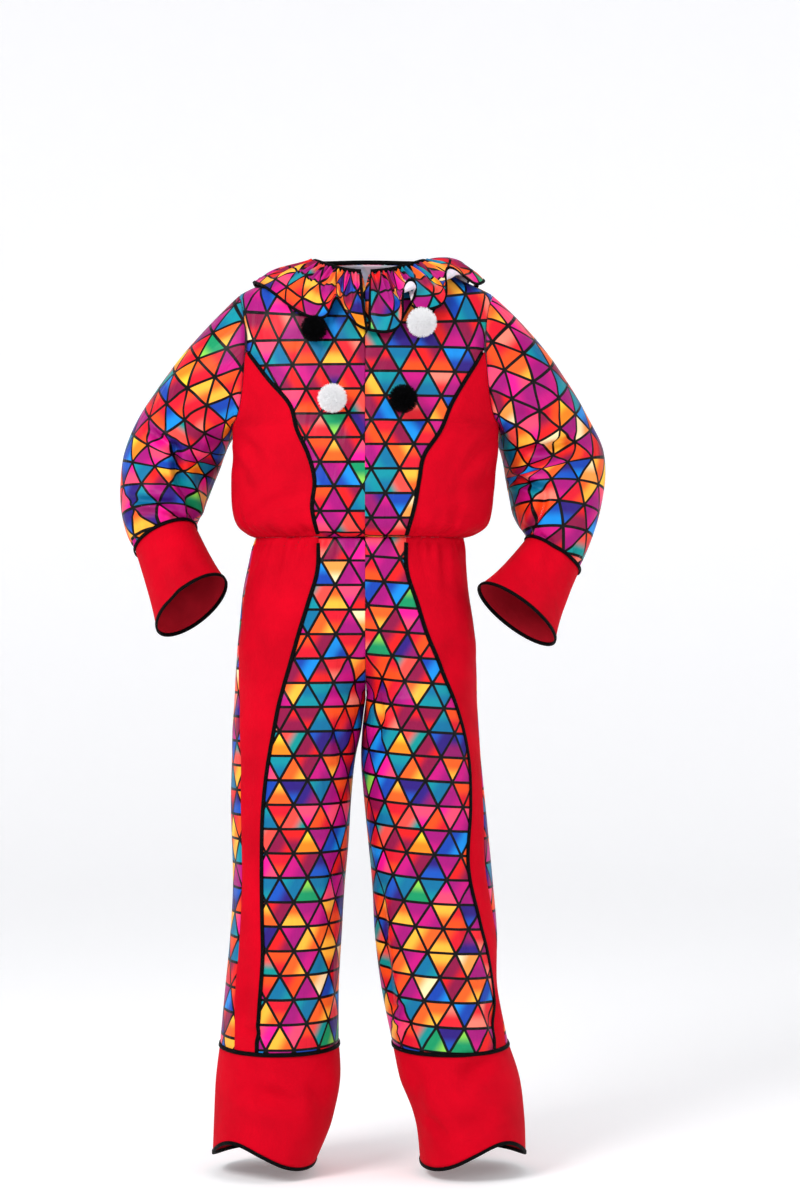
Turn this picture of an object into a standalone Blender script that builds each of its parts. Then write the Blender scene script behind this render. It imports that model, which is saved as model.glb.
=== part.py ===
"""Clown suit: a one-piece jumpsuit in printed satin and plain red polyester, filled out as worn.

Metres, +Z up. The origin is between the shoulders, where the wearer carries the suit. The front faces -Y,
and the wearer's right side is at -X. Every piece of cloth is a closed wall worked out from loops round the
body, an arm or a leg. Pieces of the right side are worked out with +X outwards and then mirrored.
"""

from collections import namedtuple

import bmesh
import bpy
import numpy as np
from mathutils import Vector
from mathutils.bvhtree import BVHTree

CLOTH = 0.002
SEAM_GAP = 0.0003
GATHER_DEPTH = 0.005
PIPING_WIDTH = 0.0065
PIPING_HEIGHT = 0.0024
PIPING_CLEAR = 0.0006
# The trousers' piping stops this part of a row above the hem's seam.
PIPING_END = 0.03
BINDING_WIDTH = 0.005
BINDING_HEIGHT = 0.004
NECK_BINDING = 0.0065
SAMPLES = 240
LEFT, RIGHT = 1, -1

# The collar ruffle: its sewn edge follows the neck, and its free edge is an oval over the shoulders.
Ruffle = namedtuple("Ruffle", "right left front back front_z side_z back_z lift")
RUFFLE_EDGE = Ruffle(0.185, 0.196, 0.146, 0.166, -0.084, 0.010, -0.046, 0.024)
RUFFLE_SEWN_OUT = 0.0045
RUFFLE_SEWN_UP = 0.0020
RUFFLE_BACK_LIFT = 0.018
RUFFLE_ROWS = (0.0, 0.28, 0.64, 1.0)
RUFFLE_WAVES = 18
RUFFLE_POINTS_PER_WAVE = 6
RUFFLE_WAVE_HEIGHT = 0.011
RUFFLE_WAVE_SWAY = 0.006
RUFFLE_WAVE_BIAS = 0.35
# The ruffle and the neck binding stop this part of a turn short of the centre front.
NECK_ENDS = 0.012
# Over each upper pompom the free edge is lifted, by this much at this angle from the centre front.
RUFFLE_RISE, RUFFLE_RISE_ANGLE, RUFFLE_RISE_SPREAD = 0.024, 0.50, 0.26
RUFFLE_BINDING = 0.004
NECK_SLIT = 0.0055
NECK_COLUMNS = 40

POMPOM_CORE = 0.0155
POMPOM_RADIUS = 0.0240
POMPOM_LOWEST_LOCK = -0.53
POMPOM_GAP = 0.0004
# A pompom's seat on the bodice is looked for from here, in front of it.
POMPOM_AHEAD = -0.5

ZIP_TAPE_WIDTH = 0.024
ZIP_TAPE_THICKNESS = 0.001
ZIP_BEHIND = 0.0013
ZIP_LAST_ROW = 5

COLOURS = {
    "printed satin": ((0.78, 0.08, 0.22), 0.38),
    "red polyester": ((0.74, 0.004, 0.012), 0.72),
    "black bias tape": ((0.012, 0.012, 0.013), 0.62),
    "white yarn": ((0.86, 0.86, 0.85), 0.95),
    "black yarn": ((0.010, 0.010, 0.011), 0.95),
    "zip tape": ((0.60, 0.01, 0.02), 0.80),
}

# Loops round the trunk, from the waist seam to the neck. front_z, side_z and back_z are a loop's heights,
# right and left its half-widths, front and back its half-depths, and armhole is how far from the centre the
# armhole's seam crosses it.
Trunk = namedtuple("Trunk", "front_z side_z back_z right left front back squareness armhole")
TRUNK = (
    Trunk(-0.4220, -0.4220, -0.4220, 0.1840, 0.1630, 0.112, 0.112, 2.3, 0.0),
    Trunk(-0.4165, -0.4165, -0.4165, 0.1970, 0.1820, 0.126, 0.126, 2.3, 0.0),
    Trunk(-0.4020, -0.4020, -0.4020, 0.2140, 0.2020, 0.139, 0.139, 2.3, 0.0),
    Trunk(-0.3770, -0.3770, -0.3770, 0.2225, 0.2100, 0.145, 0.146, 2.3, 0.0),
    Trunk(-0.3360, -0.3360, -0.3360, 0.2245, 0.2140, 0.144, 0.146, 2.3, 0.0),
    Trunk(-0.2870, -0.2870, -0.2870, 0.2222, 0.2195, 0.139, 0.141, 2.3, 0.0),
    Trunk(-0.2400, -0.2400, -0.2400, 0.2230, 0.2215, 0.134, 0.136, 2.3, 0.0),
    Trunk(-0.2260, -0.2260, -0.2260, 0.2252, 0.2240, 0.132, 0.134, 2.3, 0.2145),
    Trunk(-0.2040, -0.2040, -0.2040, 0.2275, 0.2265, 0.130, 0.132, 2.3, 0.2075),
    Trunk(-0.1630, -0.1630, -0.1630, 0.2300, 0.2300, 0.127, 0.130, 2.3, 0.2020),
    Trunk(-0.1180, -0.1180, -0.1150, 0.2300, 0.2300, 0.122, 0.128, 2.3, 0.1990),
    Trunk(-0.0850, -0.0780, -0.0700, 0.2270, 0.2270, 0.117, 0.125, 2.3, 0.1990),
    Trunk(-0.0620, -0.0460, -0.0350, 0.2220, 0.2220, 0.112, 0.121, 2.2, 0.2030),
    Trunk(-0.0480, -0.0270, -0.0120, 0.2155, 0.2155, 0.107, 0.117, 2.1, 0.2080),
    Trunk(-0.0400, -0.0180, -0.0020, 0.2105, 0.2105, 0.104, 0.115, 2.1, 0.0),
    Trunk(-0.0270, -0.0060, 0.0100, 0.1880, 0.1880, 0.098, 0.110, 2.1, 0.0),
    Trunk(-0.0130, 0.0080, 0.0220, 0.1560, 0.1570, 0.089, 0.102, 2.1, 0.0),
    Trunk(0.0000, 0.0230, 0.0330, 0.1210, 0.1260, 0.079, 0.094, 2.1, 0.0),
    Trunk(0.0110, 0.0350, 0.0430, 0.0840, 0.0950, 0.068, 0.085, 2.1, 0.0),
)
WAIST, ARMPIT, SEAM_TOP, SHOULDER, NECK = 0, 6, 10, 14, 18
TRUNK_GATHERS = {0: GATHER_DEPTH, 1: GATHER_DEPTH, 2: GATHER_DEPTH * 0.6}

# Distance of the bodice's princess seam from the centre front.
PrincessSeam = namedtuple("PrincessSeam", "height right left")
BODICE_SEAM = (
    PrincessSeam(-0.4220, 0.0770, 0.0670),
    PrincessSeam(-0.3750, 0.0860, 0.0800),
    PrincessSeam(-0.3300, 0.0820, 0.0880),
    PrincessSeam(-0.2900, 0.0920, 0.0960),
    PrincessSeam(-0.2500, 0.1100, 0.1220),
    PrincessSeam(-0.2050, 0.1240, 0.1410),
    PrincessSeam(-0.1650, 0.1580, 0.1640),
    PrincessSeam(-0.1150, 0.1960, 0.1960),
)

# Distance of the trousers' princess seam from the centre, and the width of the red panel outside it.
TrouserSeam = namedtuple("TrouserSeam", "height right left red_width")
TROUSER_SEAM = (
    TrouserSeam(-1.2620, 0.1780, 0.2120, 0.046),
    TrouserSeam(-1.1830, 0.1730, 0.2130, 0.052),
    TrouserSeam(-1.1420, 0.1700, 0.2080, 0.054),
    TrouserSeam(-1.0980, 0.1680, 0.2000, 0.054),
    TrouserSeam(-1.0500, 0.1690, 0.1870, 0.050),
    TrouserSeam(-0.9620, 0.1700, 0.1690, 0.046),
    TrouserSeam(-0.8580, 0.1670, 0.1730, 0.052),
    TrouserSeam(-0.7850, 0.1580, 0.1700, 0.064),
    TrouserSeam(-0.7420, 0.1500, 0.1620, 0.078),
    TrouserSeam(-0.6870, 0.1390, 0.1450, 0.096),
    TrouserSeam(-0.6350, 0.1240, 0.1240, 0.116),
    TrouserSeam(-0.5780, 0.1080, 0.1000, 0.136),
    TrouserSeam(-0.5300, 0.0930, 0.0850, 0.148),
    TrouserSeam(-0.4770, 0.0780, 0.0680, 0.152),
    TrouserSeam(-0.4223, 0.0770, 0.0670, 0.152),
)

# Loops round the hips and each leg, from the waist seam down. outer and inner are distances from the centre,
# front and back are half-depths, square is how square the hips' loop is, and split goes from 0, one loop
# round both legs, to 1, a loop round each.
Leg = namedtuple("Leg", "height right_inner right_outer left_inner left_outer front back square split")
LEGS = (
    Leg(-0.4223, 0.0, 0.1840, 0.0, 0.1630, 0.112, 0.112, 2.30, 0.0),
    Leg(-0.4400, 0.0, 0.1905, 0.0, 0.1670, 0.117, 0.119, 2.35, 0.0),
    Leg(-0.4650, 0.0, 0.1960, 0.0, 0.1685, 0.120, 0.126, 2.40, 0.0),
    Leg(-0.5100, 0.0, 0.2050, 0.0, 0.1720, 0.122, 0.133, 2.50, 0.0),
    Leg(-0.5600, 0.0, 0.2100, 0.0, 0.1790, 0.122, 0.136, 2.60, 0.06),
    Leg(-0.5960, 0.0, 0.2130, 0.0, 0.1830, 0.121, 0.135, 2.70, 0.18),
    Leg(-0.6230, 0.0, 0.2150, 0.0, 0.1835, 0.120, 0.134, 2.80, 0.33),
    Leg(-0.6500, 0.0, 0.2170, 0.0, 0.1845, 0.119, 0.132, 2.90, 0.54),
    Leg(-0.6720, 0.0, 0.2180, 0.0, 0.1850, 0.118, 0.129, 3.00, 0.77),
    Leg(-0.6880, 0.0002, 0.2190, 0.0002, 0.1850, 0.117, 0.126, 3.00, 1.0),
    Leg(-0.7070, 0.0030, 0.2200, -0.0024, 0.1860, 0.116, 0.122, 3.00, 1.0),
    Leg(-0.7430, 0.0078, 0.2225, -0.0065, 0.1885, 0.114, 0.116, 3.00, 1.0),
    Leg(-0.7920, 0.0180, 0.2233, -0.0083, 0.1917, 0.111, 0.110, 3.00, 1.0),
    Leg(-0.8580, 0.0245, 0.2250, -0.0033, 0.1983, 0.107, 0.104, 3.00, 1.0),
    Leg(-0.9250, 0.0285, 0.2233, 0.0033, 0.2050, 0.103, 0.100, 3.00, 1.0),
    Leg(-1.0000, 0.0350, 0.2217, 0.0105, 0.2120, 0.100, 0.096, 3.00, 1.0),
    Leg(-1.0800, 0.0400, 0.2260, 0.0150, 0.2185, 0.099, 0.096, 3.00, 1.0),
    Leg(-1.1700, 0.0450, 0.2345, 0.0260, 0.2190, 0.100, 0.099, 3.00, 1.0),
    Leg(-1.2620, 0.0450, 0.2430, 0.0440, 0.2370, 0.103, 0.103, 3.00, 1.0),
)
CROTCH, HEM_SEAM = 9, 18
LEG_GATHERS = {0: GATHER_DEPTH, 1: GATHER_DEPTH * 0.8, 2: GATHER_DEPTH * 0.5}
LEG_SQUARENESS = 2.1
HEM_TILT = 0.06

# Loops down the hem bands. rise is how far the hem's edge is lifted over the instep.
Band = namedtuple("Band", "height right_inner right_outer left_inner left_outer depth rise")
BANDS = (
    Band(-1.2620, 0.0450, 0.2430, 0.0440, 0.2370, 0.103, 0.0),
    Band(-1.3200, 0.0430, 0.2500, 0.0570, 0.2560, 0.108, 0.0),
    Band(-1.3900, 0.0560, 0.2530, 0.0820, 0.2640, 0.112, 0.018),
    Band(-1.4560, 0.0830, 0.2550, 0.0900, 0.2660, 0.112, 0.050),
)
INSTEP_TURN = 0.34
INSTEP_SPREAD = 0.19

# Loops down a sleeve, from the armhole to the cuff's seam. outer and inner are the two sides of the sleeve
# as seen from the front, y is the loop's centre, and deep its half-depth.
Sleeve = namedtuple("Sleeve", "outer_x outer_z inner_x inner_z y deep")
SLEEVES = {
    LEFT: (
        Sleeve(0.2110, -0.018, 0.2235, -0.240, 0.000, 0.078),
        Sleeve(0.2720, -0.075, 0.2290, -0.262, 0.012, 0.080),
        Sleeve(0.3100, -0.125, 0.2300, -0.278, 0.026, 0.080),
        Sleeve(0.3470, -0.175, 0.2310, -0.292, 0.040, 0.079),
        Sleeve(0.3770, -0.225, 0.2325, -0.306, 0.052, 0.078),
        Sleeve(0.3980, -0.268, 0.2340, -0.319, 0.058, 0.077),
        Sleeve(0.4030, -0.312, 0.2370, -0.335, 0.056, 0.074),
        Sleeve(0.3980, -0.353, 0.2410, -0.356, 0.049, 0.070),
        Sleeve(0.3885, -0.393, 0.2460, -0.380, 0.040, 0.064),
        Sleeve(0.3745, -0.433, 0.2570, -0.402, 0.031, 0.057),
        Sleeve(0.3567, -0.477, 0.2700, -0.420, 0.024, 0.047),
    ),
    RIGHT: (
        Sleeve(0.2110, -0.018, 0.2235, -0.240, 0.000, 0.078),
        Sleeve(0.2690, -0.075, 0.2290, -0.254, 0.012, 0.080),
        Sleeve(0.3130, -0.125, 0.2305, -0.262, 0.026, 0.080),
        Sleeve(0.3530, -0.175, 0.2345, -0.272, 0.040, 0.079),
        Sleeve(0.3865, -0.225, 0.2400, -0.286, 0.052, 0.078),
        Sleeve(0.4080, -0.278, 0.2470, -0.305, 0.058, 0.077),
        Sleeve(0.4140, -0.328, 0.2565, -0.328, 0.056, 0.074),
        Sleeve(0.4130, -0.367, 0.2660, -0.352, 0.049, 0.070),
        Sleeve(0.4060, -0.403, 0.2740, -0.373, 0.040, 0.064),
        Sleeve(0.3965, -0.428, 0.2810, -0.387, 0.031, 0.057),
        Sleeve(0.3850, -0.446, 0.2880, -0.397, 0.024, 0.047),
    ),
}
ARMHOLE_BLEND = 2.0
CUFF_SEAM = 10
CUFF_GATHERS = 14
SLEEVE_GATHERS = {10: GATHER_DEPTH * 0.9, 9: GATHER_DEPTH * 0.6}

# How much the middle of a cuff bows forwards and is drawn in, as parts of what it does along its length.
CUFF_BOW, CUFF_WAISTED = 0.10, 0.06
CUFF_ROWS = (0.0, 0.35, 0.7, 1.0)

# The loop at a cuff's mouth: its two sides as seen from the front, its centre's y, half-depth and facing.
Mouth = namedtuple("Mouth", "outer_x outer_z inner_x inner_z y deep facing_y")
MOUTHS = {
    LEFT: Mouth(0.3117, -0.594, 0.1900, -0.499, -0.046, 0.070, -0.32),
    RIGHT: Mouth(0.3417, -0.577, 0.2350, -0.486, -0.046, 0.066, -0.42),
}

# Pompoms on the chest: place as seen from the front, and yarn.
Pompom = namedtuple("Pompom", "name x z yarn")
POMPOMS = (
    Pompom("pompom_upper_right", -0.080, -0.086, "black yarn"),
    Pompom("pompom_upper_left", 0.089, -0.077, "white yarn"),
    Pompom("pompom_lower_right", -0.051, -0.200, "white yarn"),
    Pompom("pompom_lower_left", 0.060, -0.200, "black yarn"),
)

# Columns across each panel where it is gathered, where it is plain, and along the neck.
Columns = namedtuple("Columns", "gathered plain neck")
FRONT_CENTRE = Columns(4, 3, 7)
FRONT_SIDE = Columns(16, 5, 5)
BODICE_BACK = Columns(48, 12, 16)
TROUSER_BACK = Columns(24, 6, 6)
LOWER_LEG = {"front_centre": 7, "front_side": 2, "back": 9}
SLEEVE_COLUMNS = 20
CUFF_COLUMNS = 24


def clear_scene():
    for thing in list(bpy.data.objects):
        bpy.data.objects.remove(thing, do_unlink=True)


def material(name):
    """The material of that name, made once."""
    found = bpy.data.materials.get(name)
    if found:
        return found
    colour, roughness = COLOURS[name]
    made = bpy.data.materials.new(name)
    made.use_nodes = True
    shader = made.node_tree.nodes["Principled BSDF"]
    shader.inputs["Base Color"].default_value = (*colour, 1.0)
    shader.inputs["Roughness"].default_value = roughness
    return made


def add_object(name, points, faces, finish):
    """A mesh object with its faces turned outwards."""
    mesh = bpy.data.meshes.new(name)
    mesh.from_pydata([tuple(map(float, p)) for p in points], [], [tuple(map(int, f)) for f in faces])
    shaped = bmesh.new()
    shaped.from_mesh(mesh)
    bmesh.ops.recalc_face_normals(shaped, faces=shaped.faces)
    shaped.to_mesh(mesh)
    shaped.free()
    mesh.materials.append(material(finish))
    made = bpy.data.objects.new(name, mesh)
    bpy.context.scene.collection.objects.link(made)
    mesh.shade_smooth()
    mesh.set_sharp_from_angle(angle=np.radians(50))
    return made


def unit(vectors):
    return vectors / np.maximum(np.linalg.norm(vectors, axis=-1, keepdims=True), 1e-12)


def power(values, exponent):
    return np.sign(values) * np.abs(values) ** exponent


def along_table(table, t):
    """The table's row at a fractional index, on a smooth curve through its rows."""
    i = int(np.clip(np.floor(t), 0, len(table) - 2))
    f = t - i
    near = [np.array(table[int(np.clip(i + k, 0, len(table) - 1))]) for k in (-1, 0, 1, 2)]
    slope_in, slope_out = (near[2] - near[0]) / 2, (near[3] - near[1]) / 2
    value = (
        (2 * f**3 - 3 * f**2 + 1) * near[1]
        + (f**3 - 2 * f**2 + f) * slope_in
        + (3 * f**2 - 2 * f**3) * near[2]
        + (f**3 - f**2) * slope_out
    )
    return type(table[0])(*value)


def at_height(table, column, height):
    """A column's value at a height, on a smooth curve through the table's rows."""
    heights = np.array([row.height for row in table])
    values = np.array([getattr(row, column) for row in table])
    if heights[0] > heights[-1]:
        heights, values = heights[::-1], values[::-1]
    slopes = np.gradient(values, heights)
    height = float(np.clip(height, heights[0], heights[-1]))
    i = int(np.clip(np.searchsorted(heights, height) - 1, 0, len(heights) - 2))
    step = heights[i + 1] - heights[i]
    f = (height - heights[i]) / step
    return float(
        (2 * f**3 - 3 * f**2 + 1) * values[i]
        + (f**3 - 2 * f**2 + f) * step * slopes[i]
        + (3 * f**2 - 2 * f**3) * values[i + 1]
        + (f**3 - f**2) * step * slopes[i + 1]
    )


class Skin:
    """A surface given by its loops. loop(t, w) gives the points of row t at the turns w, from 0 to 1."""

    TURNS = np.linspace(0.0, 1.0, SAMPLES + 1)
    STEP = 0.04

    def __init__(self, loop, last, outwards):
        self.loop, self.last, self.outwards = loop, last, outwards
        self.rows = {}

    def row(self, t):
        if t not in self.rows:
            self.rows[t] = self.loop(t, self.TURNS)
        return self.rows[t]

    def point(self, t, turns):
        row = self.row(t)
        return np.stack([np.interp(turns, self.TURNS, row[:, k]) for k in range(3)], axis=-1)

    def normal(self, t, turns):
        """The direction out of the cloth, across the row and along the column."""
        turns = np.asarray(turns, float)
        reach = 0.004
        low, high = np.clip(turns - reach, 0, 1), np.clip(turns + reach, 0, 1)
        below, above = max(t - self.STEP, 0.0), min(t + self.STEP, self.last)
        round_it = self.point(t, high) - self.point(t, low)
        along_it = self.point(above, turns) - self.point(below, turns)
        return self.outwards * unit(np.cross(round_it, along_it))

    def level_normal(self, t, turns):
        """The direction out of the cloth within the row's own plane, for a row that meets another piece."""
        quarter = self.point(t, np.array([0.0, 0.25, 0.5, 0.75]))
        axis = unit(np.cross(quarter[1] - quarter[3], quarter[0] - quarter[2]))
        out = self.normal(t, turns)
        return unit(out - (out @ axis)[..., None] * axis)

    def lengths(self, t):
        steps = np.linalg.norm(np.diff(self.row(t), axis=0), axis=1)
        return np.concatenate([[0.0], np.cumsum(steps)])

    def moved(self, t, turn, distance):
        """The turn that lies this far along the row from another."""
        lengths = self.lengths(t)
        return float(np.interp(np.interp(turn, self.TURNS, lengths) + distance, lengths, self.TURNS))

    def spaced(self, t, start, end, count):
        """Turns that are evenly spaced along the row between two others."""
        lengths = self.lengths(t)
        first, last = np.interp([start, end], self.TURNS, lengths)
        return np.interp(np.linspace(first, last, count + 1), lengths, self.TURNS)

    def turn_at_x(self, t, x, low, high):
        """The turn between low and high where the row crosses a plane of constant x."""
        inside = (self.TURNS >= low) & (self.TURNS <= high)
        turns, across = self.TURNS[inside], self.row(t)[inside, 0]
        order = np.argsort(across)
        return float(np.interp(x, across[order], turns[order]))


def trunk_loop(t, turns):
    """A loop round the trunk: turn 0 is the centre front, and the left side is at a quarter turn."""
    row = along_table(TRUNK, t)
    angle = 2 * np.pi * turns
    across, ahead = np.sin(angle), np.cos(angle)
    exponent = 2 / row.squareness
    x = np.where(across > 0, row.left, row.right) * power(across, exponent)
    y = -np.where(ahead > 0, row.front, row.back) * power(ahead, exponent)
    end_z = np.where(ahead > 0, row.front_z, row.back_z)
    z = row.side_z + (end_z - row.side_z) * ahead**2
    return np.stack([x, y, z], axis=-1)


def leg_loop(side):
    """The loops of one half of the trousers, from the inner front round the outside to the inner back."""
    word = "left" if side == LEFT else "right"

    def loop(t, turns):
        row = along_table(LEGS, t)
        inner, outer = getattr(row, word + "_inner"), getattr(row, word + "_outer")
        half, exponent = np.pi * turns, 2 / row.square
        depth = np.where(np.cos(half) > 0, row.front, row.back)
        hips_x, hips_y = outer * power(np.sin(half), exponent), -depth * power(np.cos(half), exponent)
        exponent = 2 / LEG_SQUARENESS
        full = 2 * np.pi * turns
        centre, across = (inner + outer) / 2, (outer - inner) / 2
        depth = np.where(np.sin(full) > 0, row.front, row.back)
        leg_x = centre - across * power(np.cos(full), exponent)
        leg_y = -depth * power(np.sin(full), exponent)
        split = float(np.clip(row.split, 0, 1))
        x, y = hips_x * (1 - split) + leg_x * split, hips_y * (1 - split) + leg_y * split
        tilt = HEM_TILT * np.clip((t - CROTCH) / (HEM_SEAM - CROTCH), 0, 1) ** 2
        return np.stack([x, y, row.height + tilt * y], axis=-1)

    return loop


def band_loop(side):
    """The loops of a hem band, from the inner side round the front."""
    word = "left" if side == LEFT else "right"

    def loop(t, turns):
        row = along_table(BANDS, t)
        inner, outer = getattr(row, word + "_inner"), getattr(row, word + "_outer")
        exponent = 2 / LEG_SQUARENESS
        full = 2 * np.pi * turns
        x = (inner + outer) / 2 - (outer - inner) / 2 * power(np.cos(full), exponent)
        y = -row.depth * power(np.sin(full), exponent)
        lift = row.rise * np.exp(-(((turns - INSTEP_TURN) / INSTEP_SPREAD) ** 2) * 2)
        return np.stack([x, y, row.height + HEM_TILT * y + lift], axis=-1)

    return loop


def frame_of(outer, inner, tangent):
    """Half-vectors of a loop: towards the inner side, and the unit direction to the front."""
    half = (inner - outer) / 2
    ahead = unit(np.cross(tangent, half))
    return half, ahead if ahead[1] < 0 else -ahead


def oval(centre, half, ahead, deep, turns):
    angle = (2 * np.pi * turns)[:, None]
    return centre + half * np.cos(angle) + ahead * deep * np.sin(angle)


def sleeve_row(side, t):
    row = along_table(SLEEVES[side], t)
    outer = np.array([row.outer_x, row.y, row.outer_z])
    inner = np.array([row.inner_x, row.y, row.inner_z])
    return outer, inner, row.deep


def sleeve_axis(side, t):
    """The direction down the sleeve."""
    ends = [sleeve_row(side, float(np.clip(t + d, 0, CUFF_SEAM))) for d in (-0.8, 0.8)]
    return unit((ends[1][0] + ends[1][1]) / 2 - (ends[0][0] + ends[0][1]) / 2)


def sleeve_loop(side, armhole):
    """The loops of a sleeve, from under the arm round the front. The first is the armhole's own."""
    steps = np.concatenate([[0.0], np.cumsum(np.linalg.norm(np.diff(armhole, axis=0), axis=1))])
    top = int(np.argmax(armhole[:, 2]))
    fractions = np.where(
        np.arange(len(armhole)) <= top,
        0.5 * steps / steps[top],
        0.5 + 0.5 * (steps - steps[top]) / (steps[-1] - steps[top]),
    )

    def loop(t, turns):
        outer, inner, deep = sleeve_row(side, t)
        half, ahead = frame_of(outer, inner, sleeve_axis(side, t))
        free = oval((outer + inner) / 2, half, ahead, deep, turns)
        sewn = np.stack([np.interp(turns, fractions, armhole[:, k]) for k in range(3)], axis=-1)
        share = float(np.clip(t / ARMHOLE_BLEND, 0, 1))
        share = share * share * (3 - 2 * share)
        return sewn * (1 - share) + free * share

    return loop


def cuff_loop(side):
    """The loops of a cuff, from its seam at t = 0 to its mouth at t = 1."""
    outer, inner, deep = sleeve_row(side, CUFF_SEAM)
    axis = sleeve_axis(side, CUFF_SEAM)
    half, ahead = frame_of(outer, inner, axis)
    seam = ((outer + inner) / 2 + axis * SEAM_GAP, half, ahead, deep)
    row = MOUTHS[side]
    outer = np.array([row.outer_x, row.y, row.outer_z])
    inner = np.array([row.inner_x, row.y, row.inner_z])
    half = (inner - outer) / 2
    down = unit(np.array([half[2], 0.0, -half[0]]))
    down = down if down[2] < 0 else -down
    facing = down * np.sqrt(1 - row.facing_y**2) + np.array([0.0, row.facing_y, 0.0])
    half, ahead = frame_of(outer, inner, facing)
    mouth = ((outer + inner) / 2, half, ahead, row.deep)

    def loop(t, turns):
        flare = t + CUFF_BOW * np.sin(np.pi * t)
        widen = t - CUFF_WAISTED * np.sin(np.pi * t)
        centre = seam[0] * (1 - flare) + mouth[0] * flare
        start, end = oval(0.0, *seam[1:], turns), oval(0.0, *mouth[1:], turns)
        return centre + start * (1 - widen) + end * widen

    return loop


def strip_faces(low, high, low_at, high_at):
    """Triangles between two rows of point numbers, joined in step with their places across."""
    faces, j, k = [], 0, 0
    while j < len(low) - 1 or k < len(high) - 1:
        next_low = low_at[j + 1] if j < len(low) - 1 else np.inf
        next_high = high_at[k + 1] if k < len(high) - 1 else np.inf
        if next_low <= next_high:
            faces.append((low[j], low[j + 1], high[k]))
            j += 1
        else:
            faces.append((low[j], high[k + 1], high[k]))
            k += 1
    return faces


def walled(rows, inner_rows, closed=False):
    """Points and faces of a wall between two like sets of rows. A closed one runs all round."""
    numbers, start = [], 0
    for row in rows:
        ids = list(range(start, start + len(row)))
        numbers.append(ids + ids[:1] if closed else ids)
        start += len(row)
    outside = []
    for low, high in zip(numbers, numbers[1:]):
        outside += strip_faces(low, high, np.linspace(0, 1, len(low)), np.linspace(0, 1, len(high)))
    faces = outside + [(a + start, c + start, b + start) for a, b, c in outside]
    uses = {}
    for face in outside:
        for a, b in zip(face, face[1:] + face[:1]):
            uses[(a, b)] = True
    for a, b in uses:
        if (b, a) not in uses and a < b:
            faces += [(b, a, b + start), (a, a + start, b + start)]
        elif (b, a) not in uses:
            faces += [(b, a, a + start), (b, a + start, b + start)]
    return np.concatenate([*rows, *inner_rows]), faces


def mirrored(points, side):
    return points * np.array([side, 1.0, 1.0])


def panel(name, finish, skin, rows, edges, counts, gathers, level_rows, side=LEFT):
    """A panel between two seams. edges(t) gives its first and last turn, counts(t) its number of columns."""
    outer_rows, inner_rows = [], []
    for t in rows:
        start, end = edges(t)
        start, end = skin.moved(t, start, SEAM_GAP / 2), skin.moved(t, end, -SEAM_GAP / 2)
        turns = skin.spaced(t, start, end, counts(t))
        points = skin.point(t, turns)
        normals = skin.level_normal(t, turns) if t in level_rows else skin.normal(t, turns)
        level = unit(normals * np.array([1.0, 1.0, 0.0]))
        points = points - level * (gathers.get(t, 0.0) * (np.arange(len(turns)) % 2))[:, None]
        outer_rows.append(mirrored(points, side))
        inner_rows.append(mirrored(points - normals * CLOTH, side))
    return add_object(name, *walled(outer_rows, inner_rows), finish)


def bar(name, finish, points, along_a, span_a, along_b, span_b, closed=False):
    """A four-sided bar along a path. Each span gives where its sides lie along a direction."""
    corners = ((0, 0), (1, 0), (1, 1), (0, 1))
    rings = np.stack([points + along_a * span_a[a] + along_b * span_b[b] for a, b in corners], axis=1)
    count = len(points)
    faces = []
    for i in range(count if closed else count - 1):
        j = (i + 1) % count
        for k in range(4):
            m = (k + 1) % 4
            faces += [(4 * i + k, 4 * i + m, 4 * j + m), (4 * i + k, 4 * j + m, 4 * j + k)]
    if not closed:
        last = 4 * (count - 1)
        faces += [(0, 1, 2, 3), (last + 3, last + 2, last + 1, last)]
    return add_object(name, rings.reshape(-1, 3), faces, finish)


def seam_piping(name, skin, rows, turn, side=LEFT):
    """Piping that lies on a seam running along the columns of a skin."""
    points = np.array([skin.point(t, turn(t)) for t in rows])
    out = np.array([skin.normal(t, turn(t)) for t in rows])
    points, out = mirrored(points, side), mirrored(out, side)
    across = unit(np.cross(unit(np.gradient(points, axis=0)), out))
    spread = PIPING_WIDTH / 2
    lift = SEAM_GAP + PIPING_CLEAR
    bar(name, "black bias tape", points, across, (-spread, spread), out, (lift, lift + PIPING_HEIGHT))


def ring_bar(name, skin, t, count, span_along, span_out, side):
    """A bar round a loop of a skin: span_along runs down the sleeve or leg, span_out away from the cloth."""
    turns = skin.spaced(t, 0.0, 1.0, count)[:-1]
    ahead, behind = min(t + 0.05, skin.last), max(t - 0.05, 0.0)
    along = unit(skin.point(ahead, turns) - skin.point(behind, turns))
    points, out = mirrored(skin.point(t, turns), side), mirrored(skin.normal(t, turns), side)
    bar(name, "black bias tape", points, mirrored(along, side), span_along, out, span_out, closed=True)


def word_of(side):
    return "left" if side == LEFT else "right"


trunk = Skin(trunk_loop, last=NECK, outwards=1)


def bodice_seam_turn(t, side):
    height = float(np.interp(t, range(len(TRUNK)), [row.side_z for row in TRUNK]))
    x = at_height(BODICE_SEAM, word_of(side), height)
    low, high = (0.0, 0.25) if side == LEFT else (0.75, 1.0)
    return trunk.turn_at_x(t, side * x, low, high)


def armhole_turns(t, side):
    """Turns of the armhole's front and back edge on a row, or of the side seam twice where it has none."""
    middle = 0.25 if side == LEFT else 0.75
    reach = float(np.interp(t, range(len(TRUNK)), [row.armhole for row in TRUNK]))
    if not ARMPIT < t < SHOULDER:
        return middle, middle
    front = (0.0, 0.25) if side == LEFT else (0.75, 1.0)
    back = (0.25, 0.5) if side == LEFT else (0.5, 0.75)
    return trunk.turn_at_x(t, side * reach, *front), trunk.turn_at_x(t, side * reach, *back)


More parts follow.
